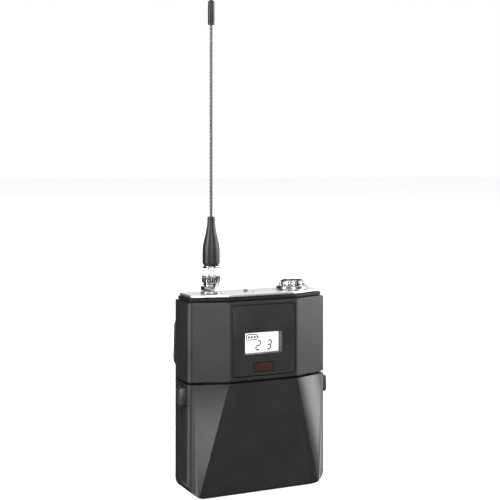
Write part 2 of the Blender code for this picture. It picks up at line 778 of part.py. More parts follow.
# ---------------------------------------------------------------- antenna
def build_antenna(materials):
    y = depth_to_y(TOP_FITTING_DEPTH)
    place = (ANTENNA_X, y, 0)
    flange_top = CASE_TOP - CASE_WALL - FIT_GAP
    flange = JACK_RADIUS + WASHER_THICKNESS * 2
    tail = JACK_RADIUS - 2 * WASHER_THICKNESS
    jack_top = PLATE_TOP + JACK_HEIGHT
    jack = make_turned("sma_jack", [
        (0, jack_top),
        (JACK_RADIUS - WASHER_THICKNESS, jack_top),
        (JACK_RADIUS, jack_top - WASHER_THICKNESS),
        (JACK_RADIUS, flange_top),
        (flange, flange_top),
        (flange, flange_top - WASHER_THICKNESS * 2),
        (tail, flange_top - WASHER_THICKNESS * 2),
        (tail, flange_top - JACK_TAIL),
        (0, flange_top - JACK_TAIL),
    ], place)
    finish(jack, materials["brass"], smooth=True)

    hole = JACK_RADIUS + FIT_GAP
    washer_low = PLATE_TOP + FIT_GAP
    washer_top = washer_low + WASHER_THICKNESS
    washer = make_rod("sma_washer", WASHER_RADIUS, WASHER_THICKNESS,
                      (ANTENNA_X, y, (washer_low + washer_top) / 2), sides=28)
    cut(washer, top_hole("washer_hole", hole, ANTENNA_X))
    finish(washer, materials["chrome"], smooth=True)

    nut_low = washer_top + FIT_GAP
    nut_top = nut_low + NUT_THICKNESS
    nut_radius = NUT_ACROSS_FLATS / math.sqrt(3)
    nut = make_rod("sma_nut", nut_radius, NUT_THICKNESS, (ANTENNA_X, y, (nut_low + nut_top) / 2),
                   sides=6)
    cut(nut, top_hole("nut_hole", hole, ANTENNA_X))
    finish(nut, materials["chrome"])

    coupling_low = nut_top + RUN_GAP
    coupling_top = coupling_low + COUPLING_HEIGHT
    flutes = []
    for step in range(COUPLING_FLUTES * 4):
        angle = 2 * math.pi * step / (COUPLING_FLUTES * 4)
        radius = COUPLING_RADIUS - (FIT_GAP / 2 if step % 4 in (2, 3) else 0)
        flutes.append(circle_point(radius, angle))
    coupling = make_slab("coupling_nut", flutes, coupling_low, coupling_top)
    coupling.location.x = ANTENNA_X
    coupling.location.y = y
    edge = FIT_GAP * 2
    chamfer = make_turned("coupling_chamfer", [
        (0, coupling_top),
        (COUPLING_RADIUS - edge, coupling_top),
        (COUPLING_RADIUS, coupling_top - edge),
        (COUPLING_RADIUS, coupling_low + edge),
        (COUPLING_RADIUS - edge, coupling_low),
        (0, coupling_low),
    ], place)
    trim(coupling, chamfer)
    bore_top = jack_top + RUN_GAP
    cut(coupling, make_rod("coupling_bore", hole, 2 * (bore_top - coupling_low),
                           (ANTENNA_X, y, coupling_low), sides=24))
    finish(coupling, materials["chrome"])

    boot_low = coupling_top + FIT_GAP
    boot_top = boot_low + BOOT_HEIGHT
    bevel = BOOT_BASE_RADIUS / 8
    socket = WHIP_RADIUS + FIT_GAP
    whip_low = boot_top - 4 * BOOT_TOP_RADIUS
    boot = make_turned("antenna_boot", [
        (0, whip_low - FIT_GAP),
        (socket, whip_low - FIT_GAP),
        (socket, boot_top),
        (BOOT_TOP_RADIUS, boot_top),
        (BOOT_TOP_RADIUS, boot_top - 2 * BOOT_TOP_RADIUS * 0.75),
        (BOOT_BASE_RADIUS * 0.72, boot_top - BOOT_HEIGHT * 0.48),
        (BOOT_BASE_RADIUS * 0.93, boot_top - BOOT_HEIGHT * 0.62),
        (BOOT_BASE_RADIUS, boot_top - BOOT_HEIGHT * 0.75),
        (BOOT_BASE_RADIUS, boot_low + bevel * 2),
        (BOOT_BASE_RADIUS - bevel, boot_low + bevel),
        (BOOT_BASE_RADIUS - bevel, boot_low),
        (0, boot_low),
    ], place)
    finish(boot, materials["rubber"], smooth=True)

    tip_low = boot_top + WHIP_LENGTH
    tip_bore = WHIP_RADIUS + FIT_GAP
    whip_top = tip_low + 2 * TIP_RADIUS
    whip = make_rod("antenna_whip", WHIP_RADIUS, whip_top - whip_low,
                    (ANTENNA_X, y, (whip_low + whip_top) / 2), sides=12)
    finish(whip, materials["rubber"], smooth=True)

    dome = [
        (TIP_RADIUS * math.sin(math.pi / 2 * step / 4),
         tip_low + TIP_HEIGHT - TIP_RADIUS * (1 - math.cos(math.pi / 2 * step / 4)))
        for step in range(5)
    ]
    tip = make_turned("antenna_tip", dome + [
        (TIP_RADIUS, tip_low),
        (tip_bore, tip_low),
        (tip_bore, whip_top + FIT_GAP),
        (0, whip_top + FIT_GAP),
    ], place, sides=16)
    finish(tip, materials["rubber"], smooth=True)


# ---------------------------------------------------------------- input socket
def build_input_socket(materials):
    y = depth_to_y(TOP_FITTING_DEPTH)
    place = (SOCKET_X, y, 0)
    flange_low = PLATE_TOP + FIT_GAP
    flange_top = flange_low + SOCKET_FLANGE_HEIGHT
    ring_top = PLATE_TOP + SOCKET_HEIGHT
    tail_low = CASE_TOP - CASE_WALL - SOCKET_TAIL
    bore = SOCKET_RING_RADIUS - SOCKET_WALL
    edge = SOCKET_WALL / 2
    socket = make_turned("input_socket", [
        (bore, ring_top),
        (SOCKET_RING_RADIUS - edge, ring_top),
        (SOCKET_RING_RADIUS, ring_top - edge),
        (SOCKET_RING_RADIUS, flange_top + edge * 2),
        (SOCKET_FLANGE_RADIUS - edge, flange_top),
        (SOCKET_FLANGE_RADIUS, flange_top - edge),
        (SOCKET_FLANGE_RADIUS, flange_low),
        (SOCKET_RING_RADIUS, flange_low),
        (SOCKET_RING_RADIUS, tail_low),
        (bore, tail_low),
        (bore, ring_top),
    ], place, sides=28)
    finish(socket, materials["chrome"], smooth=True)

    insert_top = flange_low
    insert = make_rod("input_insert", bore - FIT_GAP, insert_top - tail_low,
                      (SOCKET_X, y, (insert_top + tail_low) / 2), sides=24)
    pin_top = ring_top - SOCKET_WALL
    pin_low = tail_low - SOCKET_WALL * 2
    for index in range(SOCKET_PIN_COUNT):
        angle = math.pi / 4 + 2 * math.pi * index / SOCKET_PIN_COUNT
        x, offset = circle_point(SOCKET_PIN_CIRCLE, angle)
        spot = (SOCKET_X + x, y + offset, (pin_top + pin_low) / 2)
        pin_name = "input_pin_" + str(index + 1)
        cut(insert, make_rod(pin_name + "_hole", SOCKET_PIN_RADIUS + FIT_GAP,
                             2 * (pin_top - pin_low), spot, sides=8))
        pin = make_rod(pin_name, SOCKET_PIN_RADIUS, pin_top - pin_low, spot, sides=10)
        finish(pin, materials["brass"], smooth=True)
    finish(insert, materials["rubber"])

    nut_top = CASE_TOP - CASE_WALL - FIT_GAP
    nut = make_rod("input_nut", SOCKET_NUT_RADIUS, SOCKET_NUT_THICKNESS,
                   (SOCKET_X, y, nut_top - SOCKET_NUT_THICKNESS / 2), sides=6)
    cut(nut, top_hole("input_nut_hole", SOCKET_RING_RADIUS + FIT_GAP, SOCKET_X))
    finish(nut, materials["chrome"])


# ---------------------------------------------------------------- display
def build_display(materials):
    face = CASE_DEPTH - PANEL_RECESS
    back = face - PANEL_THICKNESS
    panel = front_slab("display_panel", PANEL_WIDTH, PANEL_HEIGHT, PANEL_LOW, back, face,
                       radius=PANEL_CORNER_RADIUS)
    cut(panel, front_slab("panel_window", LCD_WIDTH, LCD_HEIGHT, LCD_LOW, back / 2, face * 2,
                          x=LCD_X))
    cut(panel, front_slab("panel_ir_window", IR_WIDTH, IR_HEIGHT, IR_LOW, back / 2, face * 2,
                          x=LCD_X))
    finish(panel, materials["gloss_panel"])

    window = front_slab("ir_window", IR_WIDTH - 2 * FIT_GAP, IR_HEIGHT - 2 * FIT_GAP,
                        IR_LOW + FIT_GAP, back, face, x=LCD_X)
    finish(window, materials["ir_red"])

    lcd_face = face - LCD_SINK
    frame_low = LCD_LOW - LCD_FRAME_WALL
    frame = front_slab("lcd_frame", LCD_WIDTH + 2 * LCD_FRAME_WALL,
                       LCD_HEIGHT + 2 * LCD_FRAME_WALL, frame_low,
                       lcd_face + FIT_GAP, back - FIT_GAP, x=LCD_X)
    cut(frame, front_slab("lcd_frame_opening", LCD_WIDTH, LCD_HEIGHT, LCD_LOW, back / 2,
                          face * 2, x=LCD_X))
    finish(frame, materials["key_grey"])

    border = LCD_MODULE_BORDER
    module = front_slab("lcd_module", LCD_WIDTH + 2 * border, LCD_HEIGHT + 2 * border,
                        LCD_LOW - border, lcd_face - LCD_MODULE_THICKNESS, lcd_face, x=LCD_X)
    finish(module, materials["lcd"])

    width, deep, tall = IR_DIODE_SIZE
    diode_front = CASE_DEPTH - CASE_WALL - PANEL_SEAT - 2 * FIT_GAP
    diode = make_box("ir_diode", (width, deep, tall),
                     (LCD_X, depth_to_y(diode_front - deep / 2), IR_LOW + IR_HEIGHT / 2))
    finish(diode, materials["ir_red"])


# ---------------------------------------------------------------- electronics
def build_board(materials):
    board_front = BOARD_DEPTH + BOARD_THICKNESS
    board = make_span("main_board",
                      (-BOARD_WIDTH / 2, depth_to_y(board_front), BOARD_LOW),
                      (BOARD_WIDTH / 2, depth_to_y(BOARD_DEPTH), BOARD_HIGH))
    for name, x, z in screw_places():
        if z > BOARD_LOW:
            cut(board, make_rod("board_hole_" + name, SCREW_SHANK_RADIUS + FIT_GAP,
                                BOARD_THICKNESS * 4, (x, depth_to_y(board_front), z), "Y"))
    finish(board, materials["board_green"])
    blocks = (
        ("rf_shield", SHIELD_SIZE, SHIELD_X, SHIELD_LOW, "satin_silver"),
        ("audio_chip", CHIP_SIZE, CHIP_X, CHIP_LOW, "rubber"),
        ("display_connector", PLUG_SIZE, PLUG_X, PLUG_LOW, "lcd"),
    )
    for name, size, x, low, material in blocks:
        depth = board_front + FIT_GAP + size[1] / 2
        block = make_box(name, size, (x, depth_to_y(depth), low + size[2] / 2))
        finish(block, materials[material])


# ---------------------------------------------------------------- battery bay
def build_battery_tray(materials):
    shelf_top = TRAY_SHELF + TRAY_WALL
    tray = make_span("battery_tray",
                     (-TRAY_HALF_WIDTH, depth_to_y(TRAY_REACH), TRAY_LOW),
                     (TRAY_HALF_WIDTH, depth_to_y(TRAY_DEPTH), shelf_top))
    edge = HALF_WIDTH - TRAY_HALF_WIDTH
    trim(tray, front_profile(edge, TRAY_LOW, CASE_TOP, FOOT_RADIUS - edge, 0, "tray_front_view"))
    inside = TRAY_HALF_WIDTH - TRAY_CHEEK
    floor_y = depth_to_y(TRAY_DEPTH + TRAY_WALL)
    front_y = depth_to_y(TRAY_REACH * 2)
    cut(tray, make_span("tray_hollow", (-inside, front_y, 0), (inside, floor_y, TRAY_SHELF)))
    cut(tray, make_span("tray_foot", (-CASE_WIDTH, front_y, 0),
                        (CASE_WIDTH, floor_y, TRAY_CHEEK_LOW)))
    arm_top = HINGE_RADIUS + HINGE_LUG_RADIUS
    for side, sign in (("left", -1), ("right", 1)):
        x = sign * TRAY_LUG_X
        half = TRAY_LUG_WIDTH / 2
        join(tray, make_span("tray_arm_" + side,
                             (x - half, depth_to_y(HINGE_DEPTH), TRAY_LOW),
                             (x + half, floor_y + TRAY_WALL / 2, arm_top)))
        join(tray, hinge_rod("tray_lug_" + side, HINGE_LUG_RADIUS, TRAY_LUG_WIDTH, x))
        cut(tray, make_rod("tray_screw_hole_" + side, SCREW_SHANK_RADIUS + FIT_GAP,
                           TRAY_WALL * 4, (sign * SCREW_X, floor_y, SCREW_LOW_Z), "Y"))
    cut(tray, hinge_rod("tray_hinge_bore", HINGE_BORE_RADIUS, CASE_WIDTH / 2 + TRAY_LUG_X, 0))
    finish(tray, materials["case_plastic"])


def build_cells(materials):
    inside = TRAY_HALF_WIDTH - TRAY_CHEEK
    plate_outer = inside - FIT_GAP
    plate_inner = plate_outer - CONTACT_THICKNESS
    cell_end = CELL_LENGTH / 2
    shoulder = cell_end - CELL_NUB_LENGTH
    edge = CELL_RADIUS / 12
    for level, sign in (("lower", 1), ("upper", -1)):
        row = 0 if level == "lower" else 1
        z = CELL_LOW + CELL_RADIUS + row * (2 * CELL_RADIUS + CELL_GAP)
        y = depth_to_y(CELL_DEPTH)
        cell = make_turned("aa_cell_" + level, [
            (0, cell_end),
            (CELL_NUB_RADIUS, cell_end),
            (CELL_NUB_RADIUS, shoulder),
            (CELL_RADIUS - edge, shoulder),
            (CELL_RADIUS, shoulder - edge),
            (CELL_RADIUS, edge - cell_end),
            (CELL_RADIUS - edge, -cell_end),
            (0, -cell_end),
        ], (0, y, z))
        cell.rotation_euler.y = sign * math.pi / 2
        finish(cell, materials["cell_wrap"], smooth=True)

        width = 2 * SPRING_RADIUS + 6 * SPRING_WIRE
        plate_x = (plate_inner + plate_outer) / 2
        negative = make_box("contact_plate_" + level, (CONTACT_THICKNESS, width, width),
                            (-sign * plate_x, y, z))
        finish(negative, materials["chrome"])
        start = cell_end + FIT_GAP + SPRING_WIRE
        length = plate_inner - FIT_GAP - SPRING_WIRE - start
        points = [
            (-sign * (start + along), y + across, z + up)
            for across, up, along in coil_points(SPRING_RADIUS, length, SPRING_TURNS)
        ]
        spring = make_wire("contact_spring_" + level, points, SPRING_WIRE)
        finish(spring, materials["chrome"], smooth=True)

        positive = make_box("contact_positive_" + level, (CONTACT_THICKNESS, width, width),
                            (sign * plate_x, y, z))
        dome_low = cell_end + FIT_GAP
        dome_high = plate_inner + CONTACT_THICKNESS / 2
        dome = make_rod("contact_dome_" + level, CELL_NUB_RADIUS,
                        dome_high - dome_low, (sign * (dome_low + dome_high) / 2, y, z), "X",
                        top_radius=CELL_NUB_RADIUS)
        join(positive, dome)
        finish(positive, materials["chrome"])


def build_key_panel(materials):
    low = KEY_PANEL_LOW
    high = DOOR_HEIGHT - CASE_WALL / 4
    back = BOARD_DEPTH + BOARD_THICKNESS + RUN_GAP
    wall = KEY_PANEL_WALL
    half = KEY_PANEL_HALF_WIDTH
    panel = make_span("key_panel", (-half, depth_to_y(KEY_PANEL_DEPTH), low),
                      (half, depth_to_y(back), high))
    floor = KEY_PANEL_DEPTH - wall
    cut(panel, make_span("key_panel_hollow", (wall - half, depth_to_y(floor), low + wall),
                         (half - wall, depth_to_y(0), high - wall)))
    middle = (low + high) / 2
    flange_front = floor - RUN_GAP
    flange_back = flange_front - KEY_FLANGE
    for name, sign in (("menu", -1), ("enter", 1)):
        x = sign * KEY_PITCH / 2
        key_front = KEY_PANEL_DEPTH + KEY_PROUD
        cut(panel, front_slab(name + "_hole", KEY_WIDTH + 2 * FIT_GAP, KEY_HEIGHT + 2 * FIT_GAP,
                              middle - KEY_HEIGHT / 2 - FIT_GAP, floor / 2, key_front * 2, x=x,
                              radius=KEY_HEIGHT / 4))
        key = front_slab(name + "_button", KEY_WIDTH, KEY_HEIGHT, middle - KEY_HEIGHT / 2,
                         flange_back, key_front, x=x, radius=KEY_HEIGHT / 4)
        lip = KEY_FLANGE_LIP
        join(key, front_slab(name + "_flange", KEY_WIDTH + 2 * lip, KEY_HEIGHT + 2 * lip,
                             middle - KEY_HEIGHT / 2 - lip, flange_back, flange_front, x=x))
        finish(key, materials["key_grey"])
        width, deep, tall = KEY_SWITCH_SIZE
        switch_front = flange_back - KEY_SWITCH_GAP
        switch = make_box(name + "_switch", (width, deep, tall),
                          (x, depth_to_y(switch_front - deep / 2), middle))
        finish(switch, materials["rubber"])
    board_front = flange_back - KEY_SWITCH_GAP - KEY_SWITCH_SIZE[1] - FIT_GAP
    inside = half - wall - FIT_GAP
    board = make_span("key_board",
                      (-inside, depth_to_y(board_front), low + wall + FIT_GAP),
                      (inside, depth_to_y(board_front - KEY_BOARD_THICKNESS),
                       high - wall - FIT_GAP))
    finish(board, materials["board_green"])
    finish(panel, materials["case_plastic"])


# ---------------------------------------------------------------- belt clip
def arc_between(before, corner, after, radius, steps=5):
    """Points of a round bend that replaces the corner of a wire's route."""
    before, corner, after = (np.array(point) for point in (before, corner, after))
    back = (before - corner) / np.linalg.norm(before - corner)
    ahead = (after - corner) / np.linalg.norm(after - corner)
    half = math.acos(float(np.clip(back @ ahead, -1, 1))) / 2
    reach = radius / math.tan(half)
    start = corner + back * reach
    end = corner + ahead * reach
    bisector = (back + ahead) / np.linalg.norm(back + ahead)
    centre = corner + bisector * radius / math.sin(half)
    first = start - centre
    last = end - centre
    total = math.pi - 2 * half
    points = []
    for step in range(steps + 1):
        angle = total * step / steps
        spoke = (first * math.sin(total - angle) + last * math.sin(angle)) / math.sin(total)
        points.append(tuple(centre + spoke))
    return points


def bent_route(corners):
    """A route through (point, radius) corners with each inner corner bent round."""
    route = [tuple(corners[0][0])]
    for index in range(1, len(corners) - 1):
        before = corners[index - 1][0]
        corner, radius = corners[index]
        route.extend(arc_between(before, corner, corners[index + 1][0], radius))
    route.append(tuple(corners[-1][0]))
    return route


def build_belt_clip(materials):
    pivot_y = depth_to_y(-CLIP_PIVOT_STANDOFF)
    arm_y = depth_to_y(-CLIP_STANDOFF)
    foot_y = depth_to_y(-CLIP_FOOT_STANDOFF)
    bend = CLIP_BEND_RADIUS
    half = [
        ((BRACKET_BORE_START + FIT_GAP * 2, pivot_y, CLIP_TOP), 0),
        ((CLIP_HALF_WIDTH, pivot_y, CLIP_TOP), bend),
        ((CLIP_HALF_WIDTH, arm_y, CLIP_SHOULDER_LOW), bend * 2),
        ((CLIP_FOOT_HALF_WIDTH, foot_y, CLIP_FOOT_LOW + CLIP_LEG_REACH), bend * 2),
        ((CLIP_FOOT_HALF_WIDTH, arm_y, CLIP_FOOT_LOW), bend * 1.6),
    ]
    mirrored = [((-x, y, z), radius) for (x, y, z), radius in reversed(half)]
    clip = make_wire("belt_clip", bent_route(half + mirrored), CLIP_WIRE_RADIUS, resolution=3)
    finish(clip, materials["spring_steel"], smooth=True)
    low_y = depth_to_y(BRACKET_SEAT - FIT_GAP)
    high_y = depth_to_y(-CLIP_REACH)
    for side, sign in (("left", -1), ("right", 1)):
        x = sign * BRACKET_X
        bracket = make_span("clip_bracket_" + side,
                            (x - BRACKET_WIDTH / 2, low_y, CLIP_TOP - BRACKET_HEIGHT / 2),
                            (x + BRACKET_WIDTH / 2, high_y, CLIP_TOP + BRACKET_HEIGHT / 2))
        edge = bracket.modifiers.new("edge", "BEVEL")
        edge.width = FIT_GAP * 2
        edge.segments = 2
        bore_end = BRACKET_X + BRACKET_WIDTH
        cut(bracket, make_rod("clip_bore_" + side, CLIP_BORE_RADIUS,
                              bore_end - BRACKET_BORE_START,
                              (sign * (bore_end + BRACKET_BORE_START) / 2, pivot_y, CLIP_TOP),
                              "X"))
        screw_x = sign * BRACKET_SCREW_X
        cut(bracket, make_rod("bracket_bore_" + side, SCREW_SHANK_RADIUS + FIT_GAP,
                              4 * CLIP_REACH, (screw_x, high_y, CLIP_TOP), "Y"))
        recess = SCREW_SINK + SCREW_HEAD_HEIGHT + FIT_GAP
        cut(bracket, make_rod("bracket_recess_" + side, SCREW_HEAD_RADIUS + FIT_GAP, 2 * recess,
                              (screw_x, high_y, CLIP_TOP), "Y"))
        finish(bracket, materials["case_plastic"])
        reach = CLIP_REACH + BACK_WALL + FIT_GAP
        make_screw("bracket_screw_" + side, screw_x, high_y, CLIP_TOP, reach, materials)


# ---------------------------------------------------------------- screws
def make_screw(name, x, face_y, z, length, materials):
    """A pan screw driven along -Y, its head just under the face it sits in."""
    screw = make_turned(name, [
        (0, -SCREW_SINK),
        (SCREW_HEAD_RADIUS * 0.9, -SCREW_SINK),
        (SCREW_HEAD_RADIUS, -SCREW_SINK - SCREW_HEAD_HEIGHT / 3),
        (SCREW_HEAD_RADIUS, -SCREW_SINK - SCREW_HEAD_HEIGHT),
        (SCREW_SHANK_RADIUS, -SCREW_SINK - SCREW_HEAD_HEIGHT),
        (SCREW_SHANK_RADIUS, -length),
        (0, -length),
    ], (x, face_y, z), sides=14)
    screw.rotation_euler.x = -math.pi / 2
    finish(screw, materials["chrome"], smooth=True)


def build_case_screws(materials):
    for name, x, z in screw_places():
        make_screw("case_screw_" + name, x, BACK_Y, z, SCREW_LENGTH, materials)


# ---------------------------------------------------------------- joints
def make_pivot(name, place, children):
    """An empty on a joint's axis that carries the pieces that move on it."""
    pivot = bpy.data.objects.new(name, None)
    pivot.empty_display_size = CASE_DEPTH / 2
    pivot.location = place
    PARTS.objects.link(pivot)
    for child in children:
        item = bpy.data.objects[child]
        item.parent = pivot
        item.location = item.location - pivot.location
    return pivot


def add_pivots():
    top_y = depth_to_y(TOP_FITTING_DEPTH)
    make_pivot("antenna_pivot", (ANTENNA_X, top_y, PLATE_TOP),
               ("coupling_nut", "antenna_boot", "antenna_whip", "antenna_tip"))
    make_pivot("clip_pivot", (0, depth_to_y(-CLIP_PIVOT_STANDOFF), CLIP_TOP), ("belt_clip",))
    middle = (KEY_PANEL_LOW + DOOR_HEIGHT - CASE_WALL / 4) / 2
    for name, sign in (("menu", -1), ("enter", 1)):
        make_pivot(name + "_pivot", (sign * KEY_PITCH / 2, depth_to_y(KEY_PANEL_DEPTH), middle),
                   (name + "_button",))
    for side, sign in (("left", -1), ("right", 1)):
        make_pivot("tab_pivot_" + side,
                   (sign * HALF_WIDTH, depth_to_y(TAB_DEPTH), TAB_CENTRE_Z),
                   ("latch_tab_" + side,))
    door = ["battery_door", "latch_spring_left", "latch_spring_right",
            "tab_pivot_left", "tab_pivot_right"]
    make_pivot("door_pivot", (0, depth_to_y(HINGE_DEPTH), HINGE_RADIUS), door)


def main():
    global PARTS, CUTTERS
    clear_scene()
    PARTS = make_collection("bodypack_transmitter")
    CUTTERS = make_collection("cutters")
    materials = make_materials()
    build_rear_shell(materials)
    build_front_cover(materials)
    build_battery_door(materials)
    build_hinge_pin(materials)
    build_latch_tabs(materials)
    build_top_plates(materials)
    build_power_switch(materials)
    build_antenna(materials)
    build_input_socket(materials)
    build_display(materials)
    build_board(materials)
    build_battery_tray(materials)
    build_cells(materials)
    build_key_panel(materials)
    build_belt_clip(materials)
    build_case_screws(materials)
    add_pivots()


main()
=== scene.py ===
"""Looks for a wireless bodypack transmitter with a whip antenna and a wire belt clip.

The sections run: studio, case, door and latches, top plate, power switch, antenna, input
socket, display, electronics, battery bay, clip and screws.
"""
import math

import bpy
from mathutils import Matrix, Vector


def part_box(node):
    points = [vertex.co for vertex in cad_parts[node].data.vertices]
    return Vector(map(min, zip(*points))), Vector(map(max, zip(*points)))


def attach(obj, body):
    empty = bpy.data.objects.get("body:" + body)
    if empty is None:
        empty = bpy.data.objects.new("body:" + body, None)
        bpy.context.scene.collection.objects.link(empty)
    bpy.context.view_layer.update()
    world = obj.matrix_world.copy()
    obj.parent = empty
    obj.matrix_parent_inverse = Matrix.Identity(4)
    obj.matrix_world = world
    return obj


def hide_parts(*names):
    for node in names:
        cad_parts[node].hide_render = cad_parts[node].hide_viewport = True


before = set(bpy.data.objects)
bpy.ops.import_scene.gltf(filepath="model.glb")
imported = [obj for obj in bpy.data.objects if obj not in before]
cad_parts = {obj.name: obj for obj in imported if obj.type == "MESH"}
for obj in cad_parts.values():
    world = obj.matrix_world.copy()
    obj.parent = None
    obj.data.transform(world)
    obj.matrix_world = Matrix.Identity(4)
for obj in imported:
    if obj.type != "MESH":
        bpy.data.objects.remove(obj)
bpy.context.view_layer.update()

# ------------------------------------------------------------------ studio
# A flat sheet of matt white paper, two tall soft boxes and a strip light that the case's
# faces mirror, an overhead bank, black cards for dark reflections, and a telephoto lens.


def paint(name, roughness, metallic=0.0, specular=0.5, coat=0.0):
    """A new node material, with what is the same all over set on its shader."""
    material = bpy.data.materials.new(name)
    material.use_nodes = True
    shader = material.node_tree.nodes["Principled BSDF"]
    shader.inputs["Roughness"].default_value = roughness
    shader.inputs["Metallic"].default_value = metallic
    shader.inputs["Specular IOR Level"].default_value = specular
    shader.inputs["Coat Weight"].default_value = coat
    shader.inputs["Coat Roughness"].default_value = 0.06
    return material


def pattern(material, scale, detail=3.0, stretch=(1, 1, 1)):
    """Noise on Object coordinates; gives back its value socket."""
    nodes, links = material.node_tree.nodes, material.node_tree.links
    place = nodes.new("ShaderNodeTexCoord")
    mapping = nodes.new("ShaderNodeMapping")
    mapping.inputs["Scale"].default_value = stretch
    noise = nodes.new("ShaderNodeTexNoise")
    noise.inputs["Scale"].default_value = scale
    noise.inputs["Detail"].default_value = detail
    links.new(place.outputs["Object"], mapping.inputs["Vector"])
    links.new(mapping.outputs["Vector"], noise.inputs["Vector"])
    return noise.outputs["Fac"]


def tone(material, value, dark, light, low=0.35, high=0.65):
    """Base colour that runs between two tones as a pattern's value runs low to high."""
    nodes, links = material.node_tree.nodes, material.node_tree.links
    ramp = nodes.new("ShaderNodeValToRGB")
    ramp.color_ramp.elements[0].position = low
    ramp.color_ramp.elements[0].color = (*dark, 1)
    ramp.color_ramp.elements[1].position = high
    ramp.color_ramp.elements[1].color = (*light, 1)
    links.new(value, ramp.inputs["Fac"])
    links.new(ramp.outputs["Color"], nodes["Principled BSDF"].inputs["Base Color"])


def sheen(material, value, low, high):
    """Roughness that runs between two values with a pattern."""
    nodes, links = material.node_tree.nodes, material.node_tree.links
    spread = nodes.new("ShaderNodeMapRange")
    spread.inputs["From Min"].default_value = 0.3
    spread.inputs["From Max"].default_value = 0.7
    spread.inputs["To Min"].default_value = low
    spread.inputs["To Max"].default_value = high
    links.new(value, spread.inputs["Value"])
    links.new(spread.outputs["Result"], nodes["Principled BSDF"].inputs["Roughness"])


def relief(material, value, height, strength=0.5):
    """Bump of a real height in metres from a pattern."""
    nodes, links = material.node_tree.nodes, material.node_tree.links
    bump = nodes.new("ShaderNodeBump")
    bump.inputs["Strength"].default_value = strength
    bump.inputs["Distance"].default_value = height
    links.new(value, bump.inputs["Height"])
    links.new(bump.outputs["Normal"], nodes["Principled BSDF"].inputs["Normal"])


def nothing_selected():
    if bpy.context.object and bpy.context.object.mode != "OBJECT":
        bpy.ops.object.mode_set(mode="OBJECT")
    bpy.ops.object.select_all(action="DESELECT")


def take(piece):
    """Makes one piece the only one selected, and the active one."""
    nothing_selected()
    piece.select_set(True)
    bpy.context.view_layer.objects.active = piece


nothing_selected()
bpy.ops.mesh.primitive_plane_add(size=12.0, location=(0, 2.0, -0.0002))
paper_sheet = bpy.context.object
paper_sheet.name = "paper_sheet"
bpy.ops.object.transform_apply(location=True)
white_paper = paint("white_paper", 0.9, specular=0.1)
paper_fibre = pattern(white_paper, 700.0)
tone(white_paper, paper_fibre, (0.89, 0.89, 0.89), (0.91, 0.91, 0.91))
white_paper.node_tree.nodes["Principled BSDF"].inputs["Emission Color"].default_value = (
    1, 1, 1, 1)
white_paper.node_tree.nodes["Principled BSDF"].inputs["Emission Strength"].default_value = 0.45
paper_sheet.data.materials.append(white_paper)

studio = bpy.data.worlds.new("studio")
studio.use_nodes = True
sky = studio.node_tree.nodes["Background"]
sky.inputs["Strength"].default_value = 1.0
sweep = studio.node_tree.nodes.new("ShaderNodeTexCoord")
facing = studio.node_tree.nodes.new("ShaderNodeMapping")
facing.inputs["Rotation"].default_value = (0, 0, math.radians(-62.8))
fall = studio.node_tree.nodes.new("ShaderNodeTexGradient")
shade = studio.node_tree.nodes.new("ShaderNodeValToRGB")
shade.color_ramp.elements[0].color = (0.30, 0.30, 0.30, 1)
shade.color_ramp.elements[1].position = 0.55
shade.color_ramp.elements[1].color = (1, 1, 1, 1)
straight = studio.node_tree.nodes.new("ShaderNodeLightPath")
behind = studio.node_tree.nodes.new("ShaderNodeMix")
behind.data_type = "RGBA"
behind.inputs["B"].default_value = (1, 1, 1, 1)
for start, end in ((sweep.outputs["Generated"], facing.inputs["Vector"]),
                   (facing.outputs["Vector"], fall.inputs["Vector"]),
                   (fall.outputs["Fac"], shade.inputs["Fac"]),
                   (straight.outputs["Is Camera Ray"], behind.inputs["Factor"]),
                   (shade.outputs["Color"], behind.inputs["A"]),
                   (behind.outputs["Result"], sky.inputs["Color"])):
    studio.node_tree.links.new(start, end)
bpy.context.scene.world = studio
bpy.context.scene.view_settings.view_transform = "Standard"


def soft_box(name, azimuth, elevation, distance, width, height, watts):
    """A rectangular soft light that faces the middle of the pack."""
    turn, rise = math.radians(azimuth), math.radians(elevation)
    away = Vector((math.sin(turn) * math.cos(rise), -math.cos(turn) * math.cos(rise),
                   math.sin(rise)))
    bpy.ops.object.light_add(type="AREA", location=Vector((0, 0, 0.08)) + away * distance)
    light = bpy.context.object
    light.name = name
    light.data.shape = "RECTANGLE"
    light.data.size = width
    light.data.size_y = height
    light.data.energy = watts
    light.rotation_euler = away.to_track_quat("Z", "Y").to_euler()


soft_box("soft_box_left", -14, 14, 1.6, 0.45, 1.2, 24.0)
soft_box("soft_box_right", 72, 12, 1.4, 0.9, 1.3, 50.0)
soft_box("strip_light_left", -84, 16, 1.4, 0.16, 1.2, 44.0)
soft_box("overhead_bank", -20, 72, 2.2, 2.2, 2.2, 20.0)

card_black = paint("card_black", 0.9, specular=0.1)
tone(card_black, pattern(card_black, 90.0), (0.008, 0.008, 0.008), (0.012, 0.012, 0.012))


def dark_card(name, place, turn, width, height):
    """A black card that only shows in reflections, for the dark parts of gloss."""
    nothing_selected()
    bpy.ops.mesh.primitive_plane_add(size=1.0, location=place,
                                     rotation=(math.pi / 2, 0, math.radians(turn)))
    card = bpy.context.object
    card.name = name
    card.scale = (width, height, 1)
    bpy.ops.object.transform_apply(location=True, rotation=True, scale=True)
    card.data.materials.append(card_black)
    card.visible_camera = card.visible_diffuse = card.visible_shadow = False


